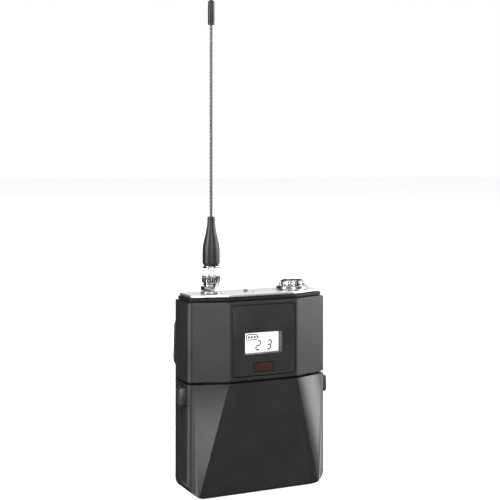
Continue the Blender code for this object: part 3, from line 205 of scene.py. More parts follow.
dark_card("card_beside", (-0.067, 0.231, 0.25), 62.8, 0.45, 0.5)
dark_card("card_ahead", (0.136, -0.267, 0.2), 27.0, 0.16, 0.4)
nothing_selected()
bpy.ops.mesh.primitive_circle_add(vertices=64, radius=0.86, fill_type="NGON",
                                  location=(0, 0, -0.0001))
table_card = bpy.context.object
table_card.name = "card_below"
bpy.ops.object.transform_apply(location=True)
table_card.data.materials.append(card_black)
table_card.visible_camera = table_card.visible_diffuse = table_card.visible_shadow = False

bpy.ops.object.camera_add(location=(-0.2111, -0.4427, 0.1433),
                          rotation=(math.radians(90.549), 0, math.radians(-25.471)))
camera = bpy.context.object
camera.name = "lens_80"
camera.data.sensor_width = 36.0
camera.data.lens = 79.93
camera.data.shift_y = -0.2
camera.data.clip_end = 30.0
bpy.context.scene.camera = camera

# ------------------------------------------------------------------ case shells
# Rear shell and front cover: satin black moulded ABS with a fine spark-eroded grain.
# They meet in a narrow groove round the sides and are held by four screws from behind.


def finer_copy(node, body, slot, material, edge, crease=0.0, soft=None):
    """A merged copy of one frame piece, its corners and broad creases rounded off."""
    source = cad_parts[node]
    piece = source.copy()
    piece.data = source.data.copy()
    piece.parent = None
    piece.name = node + "_finished"
    bpy.context.scene.collection.objects.link(piece)
    take(piece)
    bpy.ops.object.mode_set(mode="EDIT")
    bpy.ops.mesh.select_all(action="SELECT")
    bpy.ops.mesh.remove_doubles(threshold=0.000002)
    bpy.ops.mesh.dissolve_limited(angle_limit=math.radians(0.6))
    bpy.ops.mesh.faces_shade_smooth()
    bpy.ops.object.mode_set(mode="OBJECT")
    if crease:
        round_edges(piece, crease, 7, shallow=True)
    if edge:
        round_edges(piece, edge, 3, shallow=False)
    if crease:
        flatten = piece.modifiers.new("flatten", "WEIGHTED_NORMAL")
        flatten.weight = 90
        bpy.ops.object.modifier_apply(modifier=flatten.name)
    if soft is not None:
        bpy.ops.object.shade_smooth_by_angle(angle=math.radians(soft))
    dress(piece, body, slot, material, node)
    return piece


sharp_bend, crease_least, crease_most = (math.radians(bend) for bend in (24, 12, 26))
crease_shortest = 0.012
face_width_beside_crease = 0.005


def round_edges(piece, width, segments, shallow):
    """Rounds the sharp edges, or only the long shallow creases between wide faces."""
    mesh = piece.data
    faces_at = {}
    for face in mesh.polygons:
        for key in face.edge_keys:
            faces_at.setdefault(key, []).append(face)
    weights = (mesh.attributes.get("bevel_weight_edge")
               or mesh.attributes.new("bevel_weight_edge", "FLOAT", "EDGE"))
    for edge in mesh.edges:
        beside = faces_at.get(tuple(sorted(edge.vertices)), [])
        bend = beside[0].normal.angle(beside[1].normal, 0.0) if len(beside) == 2 else 0.0
        chosen = bend > sharp_bend
        if shallow:
            start, end = (mesh.vertices[index].co for index in edge.vertices)
            length = (end - start).length
            widest = max(face.area for face in beside) / length
            chosen = (length > crease_shortest and widest > face_width_beside_crease
                      and crease_least < bend < crease_most)
        weights.data[edge.index].value = 1.0 if chosen else 0.0
    rounding = piece.modifiers.new("rounding", "BEVEL")
    rounding.width = width
    rounding.segments = segments
    rounding.limit_method = "WEIGHT"
    rounding.harden_normals = not shallow
    rounding.use_clamp_overlap = not shallow
    bpy.ops.object.modifier_apply(modifier=rounding.name)


def dress(piece, body, slot, material, *nodes):
    """Gives a piece its finish and body, and hides the frame pieces it stands for."""
    piece.data.materials.clear()
    piece.data.materials.append(material)
    for face in piece.data.polygons:
        face.material_index = 0
    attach(piece, body)
    if nodes:
        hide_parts(*nodes)


case_black = paint("case_black", 0.42, specular=0.34)
tone(case_black, pattern(case_black, 90.0, 4.0), (0.0060, 0.0060, 0.0063),
     (0.0085, 0.0085, 0.0088))
case_grain = pattern(case_black, 2400.0, 2.0)
sheen(case_black, case_grain, 0.36, 0.48)
relief(case_black, case_grain, 0.00005, 0.5)

finer_copy("rear_shell", "case", "case_plastic", case_black, 0.00030)
finer_copy("front_cover", "case", "case_plastic", case_black, 0.00030, crease=0.0006)

# ------------------------------------------------------------------ battery door
# One moulding of the same black ABS, a wedge that leans back towards its foot. It turns
# on a ground steel pin through its two knuckles and the two lugs of the battery tray.
finer_copy("battery_door", "battery_door", "case_plastic", case_black, 0.00028,
            crease=0.0030)

ground_steel = paint("ground_steel", 0.25, metallic=1.0)
pin_marks = pattern(ground_steel, 900.0, 3.0, stretch=(0.04, 1, 1))
tone(ground_steel, pin_marks, (0.50, 0.50, 0.51), (0.66, 0.66, 0.67))
sheen(ground_steel, pin_marks, 0.18, 0.34)


def turned(name, profile, place, body, slot, material, nodes, turns=64, edge=0.0, soft=32.0,
           lie=(0, 0, 0)):
    """A lathe-turned piece: (radius, height) points spun about an axis, then laid in place."""
    mesh = bpy.data.meshes.new(name)
    mesh.from_pydata([(radius, 0, height) for radius, height in profile],
                     [(i, i + 1) for i in range(len(profile) - 1)], [])
    piece = bpy.data.objects.new(name, mesh)
    bpy.context.scene.collection.objects.link(piece)
    take(piece)
    bpy.ops.object.mode_set(mode="EDIT")
    bpy.ops.mesh.select_all(action="SELECT")
    bpy.ops.mesh.spin(steps=turns, angle=math.tau, center=(0, 0, 0), axis=(0, 0, 1))
    bpy.ops.mesh.select_all(action="SELECT")
    bpy.ops.mesh.remove_doubles(threshold=0.000003)
    bpy.ops.mesh.normals_make_consistent(inside=False)
    bpy.ops.object.mode_set(mode="OBJECT")
    piece.rotation_euler = lie
    piece.location = place
    bpy.ops.object.transform_apply(location=True, rotation=True)
    if edge:
        break_edges(piece, edge)
    bpy.ops.object.shade_smooth_by_angle(angle=math.radians(soft))
    dress(piece, body, slot, material, *nodes)
    return piece


def break_edges(piece, width, segments=2, angle=30.0):
    """Rounds a piece's sharp edges by a real width."""
    take(piece)
    rounding = piece.modifiers.new("rounding", "BEVEL")
    rounding.width = width
    rounding.segments = segments
    rounding.limit_method = "ANGLE"
    rounding.angle_limit = math.radians(angle)
    bpy.ops.object.modifier_apply(modifier=rounding.name)


pin_low, pin_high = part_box("door_hinge_pin")
pin_middle = tuple((low + high) / 2 for low, high in zip(pin_low, pin_high))
pin_radius = (pin_high[2] - pin_low[2]) / 2
pin_half = (pin_high[0] - pin_low[0]) / 2
turned("hinge_pin_steel", [
    (0, pin_half), (pin_radius * 0.7, pin_half), (pin_radius, pin_half - pin_radius * 0.4),
    (pin_radius, pin_radius * 0.4 - pin_half), (pin_radius * 0.7, -pin_half), (0, -pin_half),
], pin_middle, "case", "polished_steel", ground_steel, ["door_hinge_pin"], turns=28,
    lie=(0, math.pi / 2, 0))

# ------------------------------------------------------------------ latch tabs
# Two black acetal tabs, squeezed in towards each other to free the door. Each slides in
# a window of the door against a small coil spring, and has three finger ribs outside.
tab_black = paint("tab_black", 0.36, specular=0.5)
tone(tab_black, pattern(tab_black, 160.0), (0.009, 0.009, 0.0095), (0.015, 0.015, 0.0155))
tab_grain = pattern(tab_black, 5200.0, 2.0)
sheen(tab_black, tab_grain, 0.30, 0.42)
relief(tab_black, tab_grain, 0.00002, 0.3)

spring_wire = paint("spring_wire", 0.24, metallic=1.0)
wire_marks = pattern(spring_wire, 2400.0)
tone(spring_wire, wire_marks, (0.42, 0.42, 0.43), (0.62, 0.62, 0.62))
sheen(spring_wire, wire_marks, 0.2, 0.36)

for side, sign in (("left", -1), ("right", 1)):
    finer_copy("latch_tab_" + side, "latch_" + side, "tab_plastic", tab_black, 0.00012, soft=35)
    low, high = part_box("latch_tab_" + side)
    outer = low[0] if sign < 0 else high[0]
    middle_y, middle_z = (low[1] + high[1]) / 2, (low[2] + high[2]) / 2
    for index in (-1, 0, 1):
        nothing_selected()
        bpy.ops.mesh.primitive_cylinder_add(
            vertices=20, radius=0.00042, depth=0.0026,
            location=(outer - sign * 0.00022, middle_y, middle_z + index * 0.0017),
            rotation=(math.pi / 2, 0, 0))
        rib = bpy.context.object
        rib.name = f"latch_rib_{side}_{index + 2}"
        bpy.ops.object.transform_apply(location=True, rotation=True)
        break_edges(rib, 0.0002, 3, 40.0)
        bpy.ops.object.shade_smooth_by_angle(angle=math.radians(40))
        dress(rib, "latch_" + side, "tab_plastic", tab_black)
    finer_copy("latch_spring_" + side, "battery_door", "spring_steel", spring_wire, 0, soft=60)

# ------------------------------------------------------------------ top plate and rim
# A soft black gasket lies on the case, and on it a bead-blasted, nickel-plated plate that
# the antenna jack and the input socket clamp down from above and below.
gasket_black = paint("gasket_black", 0.5, specular=0.15)
gasket_grain = pattern(gasket_black, 2600.0)
tone(gasket_black, gasket_grain, (0.003, 0.003, 0.0032), (0.006, 0.006, 0.0062))
relief(gasket_black, gasket_grain, 0.00003, 0.3)
finer_copy("top_rim", "case", "black_rubber", gasket_black, 0.00025)

blasted_nickel = paint("blasted_nickel", 0.33, metallic=1.0)
blast = pattern(blasted_nickel, 5200.0, 2.0)
tone(blasted_nickel, pattern(blasted_nickel, 60.0), (0.66, 0.66, 0.655), (0.72, 0.72, 0.715))
sheen(blasted_nickel, blast, 0.30, 0.42)
relief(blasted_nickel, blast, 0.00002, 0.35)
finer_copy("top_plate", "case", "satin_silver", blasted_nickel, 0.00022)

# ------------------------------------------------------------------ power switch
# A slide switch under the plate: a black body, and a small round grey knob that runs in
# a slot. A small green lens beside it carries the status light up from the board.
finer_copy("power_switch_body", "case", "black_rubber", gasket_black, 0.0002)

knob_grey = paint("knob_grey", 0.4, specular=0.5)
knob_grain = pattern(knob_grey, 4200.0)
tone(knob_grey, knob_grain, (0.10, 0.10, 0.105), (0.14, 0.14, 0.145))
relief(knob_grey, knob_grain, 0.00002, 0.3)


def middle_of(node):
    """The upright axis of one frame piece, with its radius, foot and height."""
    low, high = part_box(node)
    return ((low[0] + high[0]) / 2, (low[1] + high[1]) / 2, (high[0] - low[0]) / 2,
            low[2], high[2] - low[2])


knob_x, knob_y, knob_radius, knob_low, knob_tall = middle_of("power_switch_knob")
turned("switch_knob_grey", [
    (0, knob_tall - 0.00012), (knob_radius * 0.45, knob_tall - 0.00010),
    (knob_radius * 0.80, knob_tall), (knob_radius * 0.97, knob_tall - 0.00012),
    (knob_radius, knob_tall - 0.00032), (knob_radius, 0.0001), (knob_radius * 0.9, 0), (0, 0),
], (knob_x, knob_y, knob_low), "power_switch", "switch_grey", knob_grey,
    ["power_switch_knob"], turns=32)

lens_green = paint("lens_green", 0.12, specular=0.6, coat=0.4)
tone(lens_green, pattern(lens_green, 1500.0), (0.02, 0.05, 0.03), (0.05, 0.10, 0.06))
led_x, led_y, led_radius, led_low, led_tall = middle_of("power_led")
turned("status_lens", [
    (0, led_tall), (led_radius * 0.5, led_tall - 0.00004), (led_radius * 0.85, led_tall - 0.00016),
    (led_radius, led_tall - 0.0004), (led_radius, 0.0001), (led_radius - 0.0001, 0), (0, 0),
], (led_x, led_y, led_low), "case", "led_lens", lens_green, ["power_led"], turns=28)

# ------------------------------------------------------------------ antenna
# A helical quarter-wave whip in a rubber boot, moulded on a knurled nickel coupling nut.
# It screws onto a nickel-plated jack, which a washer and a hex nut hold to the plate.
bright_nickel = paint("bright_nickel", 0.16, metallic=1.0)
nickel_marks = pattern(bright_nickel, 1500.0, 3.0, stretch=(1, 1, 0.15))
tone(bright_nickel, nickel_marks, (0.36, 0.36, 0.355), (0.46, 0.46, 0.455))
sheen(bright_nickel, nickel_marks, 0.12, 0.22)

jack_x, jack_y, jack_wide, jack_low, jack_tall = middle_of("sma_jack")
thread_turns, thread_pitch, thread_crest, thread_root = 20, 0.00045, 0.0031, 0.00292
thread = [(0, jack_tall), (0.0006, jack_tall), (0.0007, jack_tall - 0.0012),
          (0.0022, jack_tall - 0.0012), (0.0024, jack_tall), (0.0029, jack_tall)]
for turn in range(thread_turns):
    top = jack_tall - 0.0003 - turn * thread_pitch
    thread += [(thread_crest, top), (thread_crest, top - 0.00012), (thread_root, top - 0.00022),
               (thread_root, top - 0.00034)]
thread_end = thread[-1][1]
flange_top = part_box("top_plate")[0][2] - jack_low - 0.0031
thread += [(0.0030, thread_end - 0.0002), (0.0030, flange_top), (jack_wide, flange_top),
           (jack_wide, flange_top - 0.0011), (0.0019, flange_top - 0.0011), (0.0019, 0.0001),
           (0.0018, 0), (0, 0)]
turned("threaded_jack", thread, (jack_x, jack_y, jack_low), "case", "polished_steel",
       bright_nickel, ["sma_jack"], turns=40, soft=40)

washer_x, washer_y, washer_wide, washer_low, washer_tall = middle_of("sma_washer")
turned("plain_washer", [
    (0.0034, 0), (washer_wide - 0.0001, 0), (washer_wide, 0.0001),
    (washer_wide, washer_tall - 0.00015), (washer_wide - 0.00015, washer_tall),
    (0.0034, washer_tall), (0.0034, 0),
], (washer_x, washer_y, washer_low), "case", "polished_steel", bright_nickel, ["sma_washer"])
finer_copy("sma_nut", "case", "polished_steel", bright_nickel, 0.00028, soft=35)

nut_x, nut_y, nut_wide, nut_low, nut_tall = middle_of("coupling_nut")
turned("coupling_sleeve", [
    (0.0034, 0), (nut_wide - 0.0009, 0), (nut_wide - 0.0007, 0.0003),
    (nut_wide - 0.0007, 0.0009), (nut_wide - 0.00035, 0.0011),
    (nut_wide - 0.00035, nut_tall - 0.0006), (nut_wide - 0.0008, nut_tall - 0.0002),
    (nut_wide - 0.0009, nut_tall), (0.0034, nut_tall), (0.0034, 0),
], (nut_x, nut_y, nut_low), "antenna", "polished_steel", bright_nickel, ["coupling_nut"],
    turns=72)
flute_count, flute_radius = 24, 0.00042
nothing_selected()
bpy.ops.mesh.primitive_cylinder_add(vertices=16, radius=flute_radius, depth=nut_tall - 0.0018,
                                    location=(nut_x + nut_wide - flute_radius, nut_y,
                                              nut_low + nut_tall / 2 + 0.0003))
flute = bpy.context.object
flute.name = "coupling_flute_01"
bpy.ops.object.transform_apply(location=True)
break_edges(flute, 0.00025, 3, 60.0)
bpy.ops.object.shade_smooth_by_angle(angle=math.radians(50))
dress(flute, "antenna", "polished_steel", bright_nickel)
for index in range(1, flute_count):
    copied = flute.copy()
    copied.data = flute.data.copy()
    copied.name = f"coupling_flute_{index + 1:02d}"
    bpy.context.scene.collection.objects.link(copied)
    angle = math.tau * index / flute_count
    for vertex in copied.data.vertices:
        x, y = vertex.co.x - nut_x, vertex.co.y - nut_y
        vertex.co.x = nut_x + x * math.cos(angle) - y * math.sin(angle)
        vertex.co.y = nut_y + x * math.sin(angle) + y * math.cos(angle)
    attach(copied, "antenna")

boot_rubber = paint("boot_rubber", 0.40, specular=0.22)
boot_grain = pattern(boot_rubber, 2200.0)
tone(boot_rubber, pattern(boot_rubber, 200.0), (0.006, 0.006, 0.0063), (0.009, 0.009, 0.0093))
sheen(boot_rubber, boot_grain, 0.34, 0.46)
relief(boot_rubber, boot_grain, 0.00002, 0.3)


def eased(points, steps=5):
    """A smooth curve through (radius, height) points."""
    curve = []
    for index in range(len(points) - 1):
        before = points[max(index - 1, 0)]
        start, end = points[index], points[index + 1]
        after = points[min(index + 2, len(points) - 1)]
        for step in range(steps):
            t = step / steps
            curve.append(tuple(
                0.5 * (2 * b + (c - a) * t + (2 * a - 5 * b + 4 * c - d) * t * t
                       + (3 * b - a - 3 * c + d) * t ** 3)
                for a, b, c, d in zip(before, start, end, after)))
    return curve + [points[-1]]


boot_x, boot_y, boot_wide, boot_low, boot_tall = middle_of("antenna_boot")
slope = eased([(0.00160, boot_tall - 0.0005), (0.00172, boot_tall - 0.0030),
               (0.00205, boot_tall - 0.0055), (0.00255, boot_tall - 0.0080),
               (0.00315, boot_tall - 0.0105), (0.00358, boot_tall - 0.0128),
               (0.00376, boot_tall - 0.0150), (boot_wide, boot_tall - 0.0175),
               (boot_wide, 0.0010)])
turned("boot_moulding", [
    (0.00082, boot_tall - 0.0030), (0.00082, boot_tall - 0.0002), (0.00095, boot_tall),
    (0.00145, boot_tall), (0.00157, boot_tall - 0.00015),
] + slope + [
    (boot_wide - 0.00012, 0.0007), (boot_wide - 0.00045, 0.00045), (boot_wide - 0.0005, 0),
    (0, 0), (0, boot_tall - 0.0030), (0.00082, boot_tall - 0.0030),
], (boot_x, boot_y, boot_low), "antenna", "black_rubber", boot_rubber, ["antenna_boot"],
    turns=56, soft=40)

whip_sleeve = paint("whip_sleeve", 0.34, specular=0.55)
sleeve_grain = pattern(whip_sleeve, 2400.0)
tone(whip_sleeve, sleeve_grain, (0.010, 0.010, 0.0105), (0.022, 0.022, 0.0225))
sheen(whip_sleeve, sleeve_grain, 0.28, 0.42)
whip_x, whip_y, whip_wide, whip_low, whip_tall = middle_of("antenna_whip")
pitch = 0.0016
rounds = int(whip_tall / pitch) - 1
lap = [(whip_wide - 0.00010 + 0.00010 * math.sin(math.pi * step / 6) ** 0.6, pitch * step / 6)
       for step in range(7)]
mesh = bpy.data.meshes.new("whip_winding")
mesh.from_pydata([(radius, 0, height) for radius, height in lap],
                 [(i, i + 1) for i in range(len(lap) - 1)], [])
winding = bpy.data.objects.new("whip_winding", mesh)
bpy.context.scene.collection.objects.link(winding)
take(winding)
helix = winding.modifiers.new("helix", "SCREW")
helix.angle = math.tau
helix.screw_offset = pitch
helix.iterations = rounds
helix.steps = helix.render_steps = 20
helix.use_merge_vertices = True
helix.merge_threshold = 0.000004
bpy.ops.object.modifier_apply(modifier=helix.name)
bpy.ops.object.mode_set(mode="EDIT")
bpy.ops.mesh.select_all(action="SELECT")
bpy.ops.mesh.remove_doubles(threshold=0.000004)
bpy.ops.mesh.fill_holes(sides=0)
bpy.ops.mesh.normals_make_consistent(inside=False)
bpy.ops.object.mode_set(mode="OBJECT")
winding.location = (whip_x, whip_y, whip_low)
bpy.ops.object.transform_apply(location=True)
bpy.ops.object.shade_smooth_by_angle(angle=math.radians(50))
dress(winding, "antenna", "black_rubber", whip_sleeve, "antenna_whip")

tip_x, tip_y, tip_wide, tip_low, tip_tall = middle_of("antenna_tip")
cap = [(tip_wide * math.sin(math.pi / 2 * step / 6),
        tip_tall - tip_wide * (1 - math.cos(math.pi / 2 * step / 6))) for step in range(7)]
turned("tip_cap", cap + [
    (tip_wide, 0.0012), (tip_wide - 0.00008, 0.00095), (tip_wide - 0.00008, 0.0008),
    (tip_wide, 0.0006), (tip_wide - 0.0001, 0.0001), (tip_wide - 0.0003, 0), (0.0009, 0),
    (0.0009, tip_tall * 0.3), (0, tip_tall * 0.3),
], (tip_x, tip_y, tip_low), "antenna", "black_rubber", boot_rubber, ["antenna_tip"],
    turns=40, soft=40)

# ------------------------------------------------------------------ input socket
# A four-pin miniature microphone socket: a bright nickel shell with a slotted ring, a
# black insert and gold pins, drawn down on the plate by a hex nut inside the case.
socket_x, socket_y, socket_wide, socket_low, socket_tall = middle_of("input_socket")
plate_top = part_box("top_plate")[1][2]
seat_gap, flange_thick = 0.0003, 0.0016
seat = plate_top + seat_gap - socket_low
turned("socket_shell", [
    (0.0045, socket_tall - 0.0002), (0.0047, socket_tall), (0.0049, socket_tall),
    (0.0052, socket_tall - 0.0003), (0.0052, seat + 0.0020), (0.0056, seat + 0.0017),
    (0.0062, seat + 0.0016), (0.0066, seat + 0.0015), (socket_wide - 0.0001, seat + 0.0011),
    (socket_wide, seat + 0.0008), (socket_wide, seat + 0.0003),
    (socket_wide - 0.0002, seat), (0.0052, seat), (0.0052, 0.0002), (0.0050, 0), (0.0045, 0),
    (0.0045, socket_tall - 0.0002),
], (socket_x, socket_y, socket_low), "case", "polished_steel", bright_nickel,
    ["input_socket"], turns=80)
nothing_selected()
bpy.ops.mesh.primitive_cube_add(size=1.0, location=(0, 0, 0))
tooth = bpy.context.object
tooth.name = "ring_tooth_01"
tooth_count, tooth_circle, tooth_tall = 12, 0.00535, 0.0017
tooth.scale = (0.0007, 0.0016, tooth_tall)
bpy.ops.object.transform_apply(scale=True)
break_edges(tooth, 0.00022, 3)
bpy.ops.object.shade_smooth_by_angle(angle=math.radians(40))
tooth_z = plate_top + seat_gap + flange_thick + tooth_tall / 2
tooth_place = Vector((socket_x, socket_y, tooth_z))
for index in range(tooth_count):
    copied = tooth.copy()
    copied.data = tooth.data.copy()
    copied.name = f"socket_ring_tooth_{index + 1:02d}"
    bpy.context.scene.collection.objects.link(copied)
    take(copied)
    angle = math.tau * (index + 0.5) / tooth_count
    copied.rotation_euler = (0, 0, angle)
    copied.location = tooth_place + Vector((math.cos(angle), math.sin(angle), 0)) * tooth_circle
    bpy.ops.object.transform_apply(location=True, rotation=True)
    dress(copied, "case", "polished_steel", bright_nickel)
bpy.data.objects.remove(tooth)

insert_black = paint("insert_black", 0.45, specular=0.45)
tone(insert_black, pattern(insert_black, 900.0), (0.008, 0.008, 0.008), (0.014, 0.014, 0.014))
finer_copy("input_insert", "case", "black_rubber", insert_black, 0.0001, soft=35)
plated_brass = paint("plated_brass", 0.22, metallic=1.0)
brass_marks = pattern(plated_brass, 1800.0)
tone(plated_brass, brass_marks, (0.78, 0.56, 0.22), (0.90, 0.68, 0.32))
sheen(plated_brass, brass_marks, 0.16, 0.30)
for index in range(1, 5):
    pin_x, pin_y, pin_wide, pin_low, pin_tall = middle_of(f"input_pin_{index}")
    turned(f"contact_pin_{index}", [
        (0, pin_tall), (pin_wide * 0.5, pin_tall - 0.00008), (pin_wide * 0.85, pin_tall - 0.0003),
        (pin_wide, pin_tall - 0.0006), (pin_wide, 0.0002), (pin_wide * 0.8, 0), (0, 0),
    ], (pin_x, pin_y, pin_low), "case", "gold_brass", plated_brass,
        [f"input_pin_{index}"], turns=20)
finer_copy("input_nut", "case", "polished_steel", bright_nickel, 0.00025, soft=35)

# ------------------------------------------------------------------ display
# A hard-coated polycarbonate window, smoked dark, glued into a recess in the cover, with
# a clear opening over the backlit liquid crystal cell and a dark red infrared port.
window_smoke = paint("window_smoke", 0.22, specular=0.3, coat=0.05)
smoke = pattern(window_smoke, 70.0)
tone(window_smoke, smoke, (0.010, 0.010, 0.0105), (0.014, 0.014, 0.0145))
sheen(window_smoke, pattern(window_smoke, 3000.0), 0.20, 0.28)
finer_copy("display_panel", "case", "gloss_panel", window_smoke, 0.00030)

port_red = paint("port_red", 0.25, specular=0.3)
tone(port_red, pattern(port_red, 240.0), (0.018, 0.0065, 0.006), (0.023, 0.008, 0.0075))
finer_copy("ir_window", "case", "ir_red", port_red, 0.0001)
finer_copy("ir_diode", "case", "ir_red", port_red, 0.0003)

bezel_grey = paint("bezel_grey", 0.5, specular=0.4)
tone(bezel_grey, pattern(bezel_grey, 500.0), (0.05, 0.05, 0.052), (0.075, 0.075, 0.077))
finer_copy("lcd_frame", "case", "frame_grey", bezel_grey, 0.00012)

cell_glow = paint("cell_glow", 0.3, specular=0.4)
tone(cell_glow, pattern(cell_glow, 260.0), (0.74, 0.76, 0.75), (0.80, 0.82, 0.81))
cell_glow.node_tree.nodes["Principled BSDF"].inputs["Emission Color"].default_value = (
    0.96, 1.0, 0.98, 1)
cell_glow.node_tree.nodes["Principled BSDF"].inputs["Emission Strength"].default_value = 0.22
finer_copy("lcd_module", "case", "lcd_face", cell_glow, 0.00015)

cell_ink = paint("cell_ink", 0.4)
tone(cell_ink, pattern(cell_ink, 900.0), (0.022, 0.024, 0.022), (0.035, 0.037, 0.035))
cell_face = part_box("lcd_module")[0][1]
marks, outlines = [], []


def bar(x, z, length, width, upright=False, lean=0.0, foot=0.0):
    """One pointed liquid crystal segment, from its middle, added to the marks."""
    half, side = length / 2, width / 2
    shape = [(-half, 0), (side - half, side), (half - side, side), (half, 0),
             (half - side, -side), (side - half, -side)]
    if upright:
        shape = [(up, along) for along, up in shape][::-1]
    start = len(marks)
    for along, up in shape:
        marks.append((x + along + lean * (z + up - foot), cell_face - 0.00002, z + up))
    outlines.append(tuple(range(start, start + len(shape))))


stroke, digit_wide, digit_tall, italic = 0.00066, 0.0019, 0.0038, 0.16
foot = 0.0615
middle, head = foot + digit_tall / 2, foot + digit_tall
across, tall = digit_wide - 0.0001, digit_tall / 2 - 0.0001
side_x = digit_wide / 2
lit = {2: "abged", 3: "abgcd"}
for number, digit_x in ((2, -0.0011), (3, 0.0041)):
    segments = {
        "a": (digit_x, head, across, False), "g": (digit_x, middle, across, False),
        "d": (digit_x, foot, across, False),
        "b": (digit_x + side_x, (middle + head) / 2, tall, True),
        "e": (digit_x - side_x, (foot + middle) / 2, tall, True),
        "c": (digit_x + side_x, (foot + middle) / 2, tall, True),
    }
    for letter in lit[number]:
        x, z, length, upright = segments[letter]
        bar(x, z, length, stroke, upright, italic, foot)
outline, battery_z, battery_half = 0.00050, 0.06705, 0.00115
for z in (battery_z - battery_half, battery_z + battery_half):
    bar(-0.0039, z, 0.0050, outline)
for x, length in ((-0.0064, 0.0022), (-0.00145, 0.0022), (-0.0009, 0.0012)):
    bar(x, battery_z, length, outline, True)
for index in range(3):
    bar(-0.0053 + index * 0.0014, battery_z, 0.0015, 0.0010, True)
mesh = bpy.data.meshes.new("display_segments")
mesh.from_pydata(marks, [], outlines)
segments_shown = bpy.data.objects.new("display_segments", mesh)
bpy.context.scene.collection.objects.link(segments_shown)
take(segments_shown)
depth = segments_shown.modifiers.new("depth", "SOLIDIFY")
depth.thickness = 0.00004
depth.offset = 0.0
bpy.ops.object.modifier_apply(modifier=depth.name)
bpy.ops.object.mode_set(mode="EDIT")
bpy.ops.mesh.select_all(action="SELECT")
bpy.ops.mesh.normals_make_consistent(inside=False)
bpy.ops.object.mode_set(mode="OBJECT")
dress(segments_shown, "case", "lcd_face", cell_ink)

# ------------------------------------------------------------------ electronics
# A green solder-masked board screwed to the rear shell, with a tinned shield can over the
# radio, a black chip and a moulded connector; a second small board carries the two keys.
board_mask = paint("board_mask", 0.32, specular=0.5, coat=0.3)
tone(board_mask, pattern(board_mask, 420.0, 5.0), (0.010, 0.060, 0.024), (0.018, 0.110, 0.045))
relief(board_mask, pattern(board_mask, 900.0), 0.00004, 0.3)
finer_copy("main_board", "case", "board_green", board_mask, 0.0001)
finer_copy("key_board", "case", "board_green", board_mask, 0.0001)

tinned_can = paint("tinned_can", 0.3, metallic=1.0)
tin_marks = pattern(tinned_can, 500.0, 4.0, stretch=(0.2, 1, 1))
tone(tinned_can, tin_marks, (0.55, 0.55, 0.54), (0.70, 0.70, 0.69))
sheen(tinned_can, tin_marks, 0.22, 0.42)
finer_copy("rf_shield", "case", "satin_silver", tinned_can, 0.0004)

chip_epoxy = paint("chip_epoxy", 0.55, specular=0.4)
tone(chip_epoxy, pattern(chip_epoxy, 2600.0), (0.012, 0.012, 0.012), (0.024, 0.024, 0.024))
relief(chip_epoxy, pattern(chip_epoxy, 5200.0), 0.00003, 0.3)
finer_copy("audio_chip", "case", "chip_black", chip_epoxy, 0.00015)
for name in ("menu", "enter"):
    finer_copy(name + "_switch", "case", "chip_black", chip_epoxy, 0.0002)
finer_copy("display_connector", "case", "frame_grey", bezel_grey, 0.0002)

# ------------------------------------------------------------------ battery bay
# A black tray for two AA cells, one above the other, with nickel-plated spring contacts
# at one end and plates at the other, and above them a panel with two rubber keys.
finer_copy("battery_tray", "case", "tray_plastic", tab_black, 0.0002)
finer_copy("key_panel", "case", "tray_plastic", tab_black, 0.0002)

key_rubber = paint("key_rubber", 0.55, specular=0.4)
tone(key_rubber, pattern(key_rubber, 400.0), (0.10, 0.10, 0.105), (0.13, 0.13, 0.135))
relief(key_rubber, pattern(key_rubber, 3800.0), 0.00002, 0.4)
for name in ("menu", "enter"):
    finer_copy(name + "_button", name + "_key", "key_rubber", key_rubber, 0.00035)

contact_nickel = paint("contact_nickel", 0.28, metallic=1.0)
plating = pattern(contact_nickel, 1200.0)
tone(contact_nickel, plating, (0.58, 0.56, 0.52), (0.72, 0.70, 0.66))
sheen(contact_nickel, plating, 0.2, 0.36)

cell_steel = paint("cell_steel", 0.3, metallic=1.0)
tone(cell_steel, pattern(cell_steel, 1400.0), (0.60, 0.60, 0.60), (0.72, 0.72, 0.72))

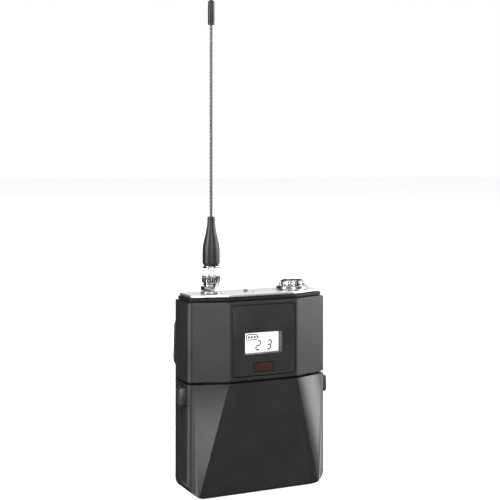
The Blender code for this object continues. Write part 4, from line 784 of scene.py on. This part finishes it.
for level in ("lower", "upper"):
    finer_copy("contact_plate_" + level, "case", "contact_nickel", contact_nickel, 0.0001)
    finer_copy("contact_positive_" + level, "case", "contact_nickel", contact_nickel, 0.0001)
    finer_copy("contact_spring_" + level, "case", "contact_nickel", contact_nickel, 0, soft=60)

    low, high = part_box("aa_cell_" + level)
    plus = 1 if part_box("contact_positive_" + level)[0][0] > 0 else -1
    wide = (high[2] - low[2]) / 2
    long = high[0] - low[0]
    foot_x, head_x = (low[0], high[0]) if plus > 0 else (high[0], low[0])
    sleeve = paint("cell_sleeve_" + level, 0.3, specular=0.5, coat=0.3)
    nodes, links = sleeve.node_tree.nodes, sleeve.node_tree.links
    along = nodes.new("ShaderNodeSeparateXYZ")
    links.new(nodes.new("ShaderNodeTexCoord").outputs["Object"], along.inputs["Vector"])
    bands = nodes.new("ShaderNodeMapRange")
    bands.inputs["From Min"].default_value = foot_x
    bands.inputs["From Max"].default_value = head_x
    links.new(along.outputs["X"], bands.inputs["Value"])
    tone(sleeve, bands.outputs["Result"], (0.025, 0.027, 0.032), (0.58, 0.30, 0.10), 0.70, 0.715)
    relief(sleeve, pattern(sleeve, 1500.0), 0.00002, 0.2)
    cell = turned("cell_" + level, [
        (0, long), (0.0024, long), (0.0027, long - 0.0003), (0.0027, long - 0.0012),
        (0.0050, long - 0.0013), (wide - 0.0008, long - 0.0013), (wide - 0.0003, long - 0.0015),
        (wide, long - 0.0020), (wide, 0.0006), (wide - 0.0003, 0.0002), (wide - 0.0010, 0.0002),
        (wide - 0.0012, 0), (0, 0),
    ], (foot_x, (low[1] + high[1]) / 2, (low[2] + high[2]) / 2),
        "case", "cell_wrap", sleeve, ["aa_cell_" + level], turns=56,
        lie=(0, plus * math.pi / 2, 0))
    cell.data.materials.append(cell_steel)
    for face in cell.data.polygons:
        from_foot = abs(face.center.x - foot_x)
        if from_foot > long - 0.0014 or from_foot < 0.00015:
            face.material_index = 1

# ------------------------------------------------------------------ belt clip
# One length of black-finished spring wire, bent to two shoulders and a narrower tongue.
# Its ends turn in two brackets, each held to the rear shell by a pan-head screw.
black_wire = paint("black_wire", 0.32, metallic=0.6, specular=0.5)
oxide = pattern(black_wire, 1300.0, 4.0)
tone(black_wire, oxide, (0.020, 0.020, 0.021), (0.045, 0.045, 0.046))
sheen(black_wire, oxide, 0.26, 0.42)
finer_copy("belt_clip", "belt_clip", "clip_wire", black_wire, 0, soft=60)
for side in ("left", "right"):
    finer_copy("clip_bracket_" + side, "case", "case_plastic", case_black, 0.0003)

# ------------------------------------------------------------------ screws
# Zinc-plated pan-head screws with a cross recess: four close the case from behind and one
# holds each clip bracket.
zinc_plate = paint("zinc_plate", 0.28, metallic=1.0)
zinc_marks = pattern(zinc_plate, 1600.0, 3.0)
tone(zinc_plate, zinc_marks, (0.50, 0.50, 0.51), (0.66, 0.66, 0.67))
sheen(zinc_plate, zinc_marks, 0.2, 0.36)
for name in ("case_screw_lower_left", "case_screw_lower_right", "case_screw_upper_left",
             "case_screw_upper_right", "bracket_screw_left", "bracket_screw_right"):
    low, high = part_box(name)
    head, length = (high[0] - low[0]) / 2, high[1] - low[1]
    head_place = ((low[0] + high[0]) / 2, high[1], (low[2] + high[2]) / 2)
    screw = turned(name.replace("screw", "pan_screw"), [
        (0, 0), (head * 0.55, -0.00002), (head * 0.85, -0.00010), (head, -0.00028),
        (head, -0.0006), (head * 0.47, -0.0006), (head * 0.47, -length + 0.0004),
        (head * 0.2, -length), (0, -length),
    ], head_place, "case", "screw_steel", zinc_plate, [name], turns=32,
        lie=(-math.pi / 2, 0, 0))
    for turn in (0, math.pi / 2):
        nothing_selected()
        bpy.ops.mesh.primitive_cube_add(size=1.0, location=head_place, rotation=(0, turn, 0))
        blade = bpy.context.object
        blade.scale = (0.0021, 0.0008, 0.00042)
        bpy.ops.object.transform_apply(location=True, rotation=True, scale=True)
        take(screw)
        recess = screw.modifiers.new("recess", "BOOLEAN")
        recess.object = blade
        recess.operation = "DIFFERENCE"
        recess.solver = "EXACT"
        bpy.ops.object.modifier_apply(modifier=recess.name)
        bpy.data.objects.remove(blade)

nothing_selected()
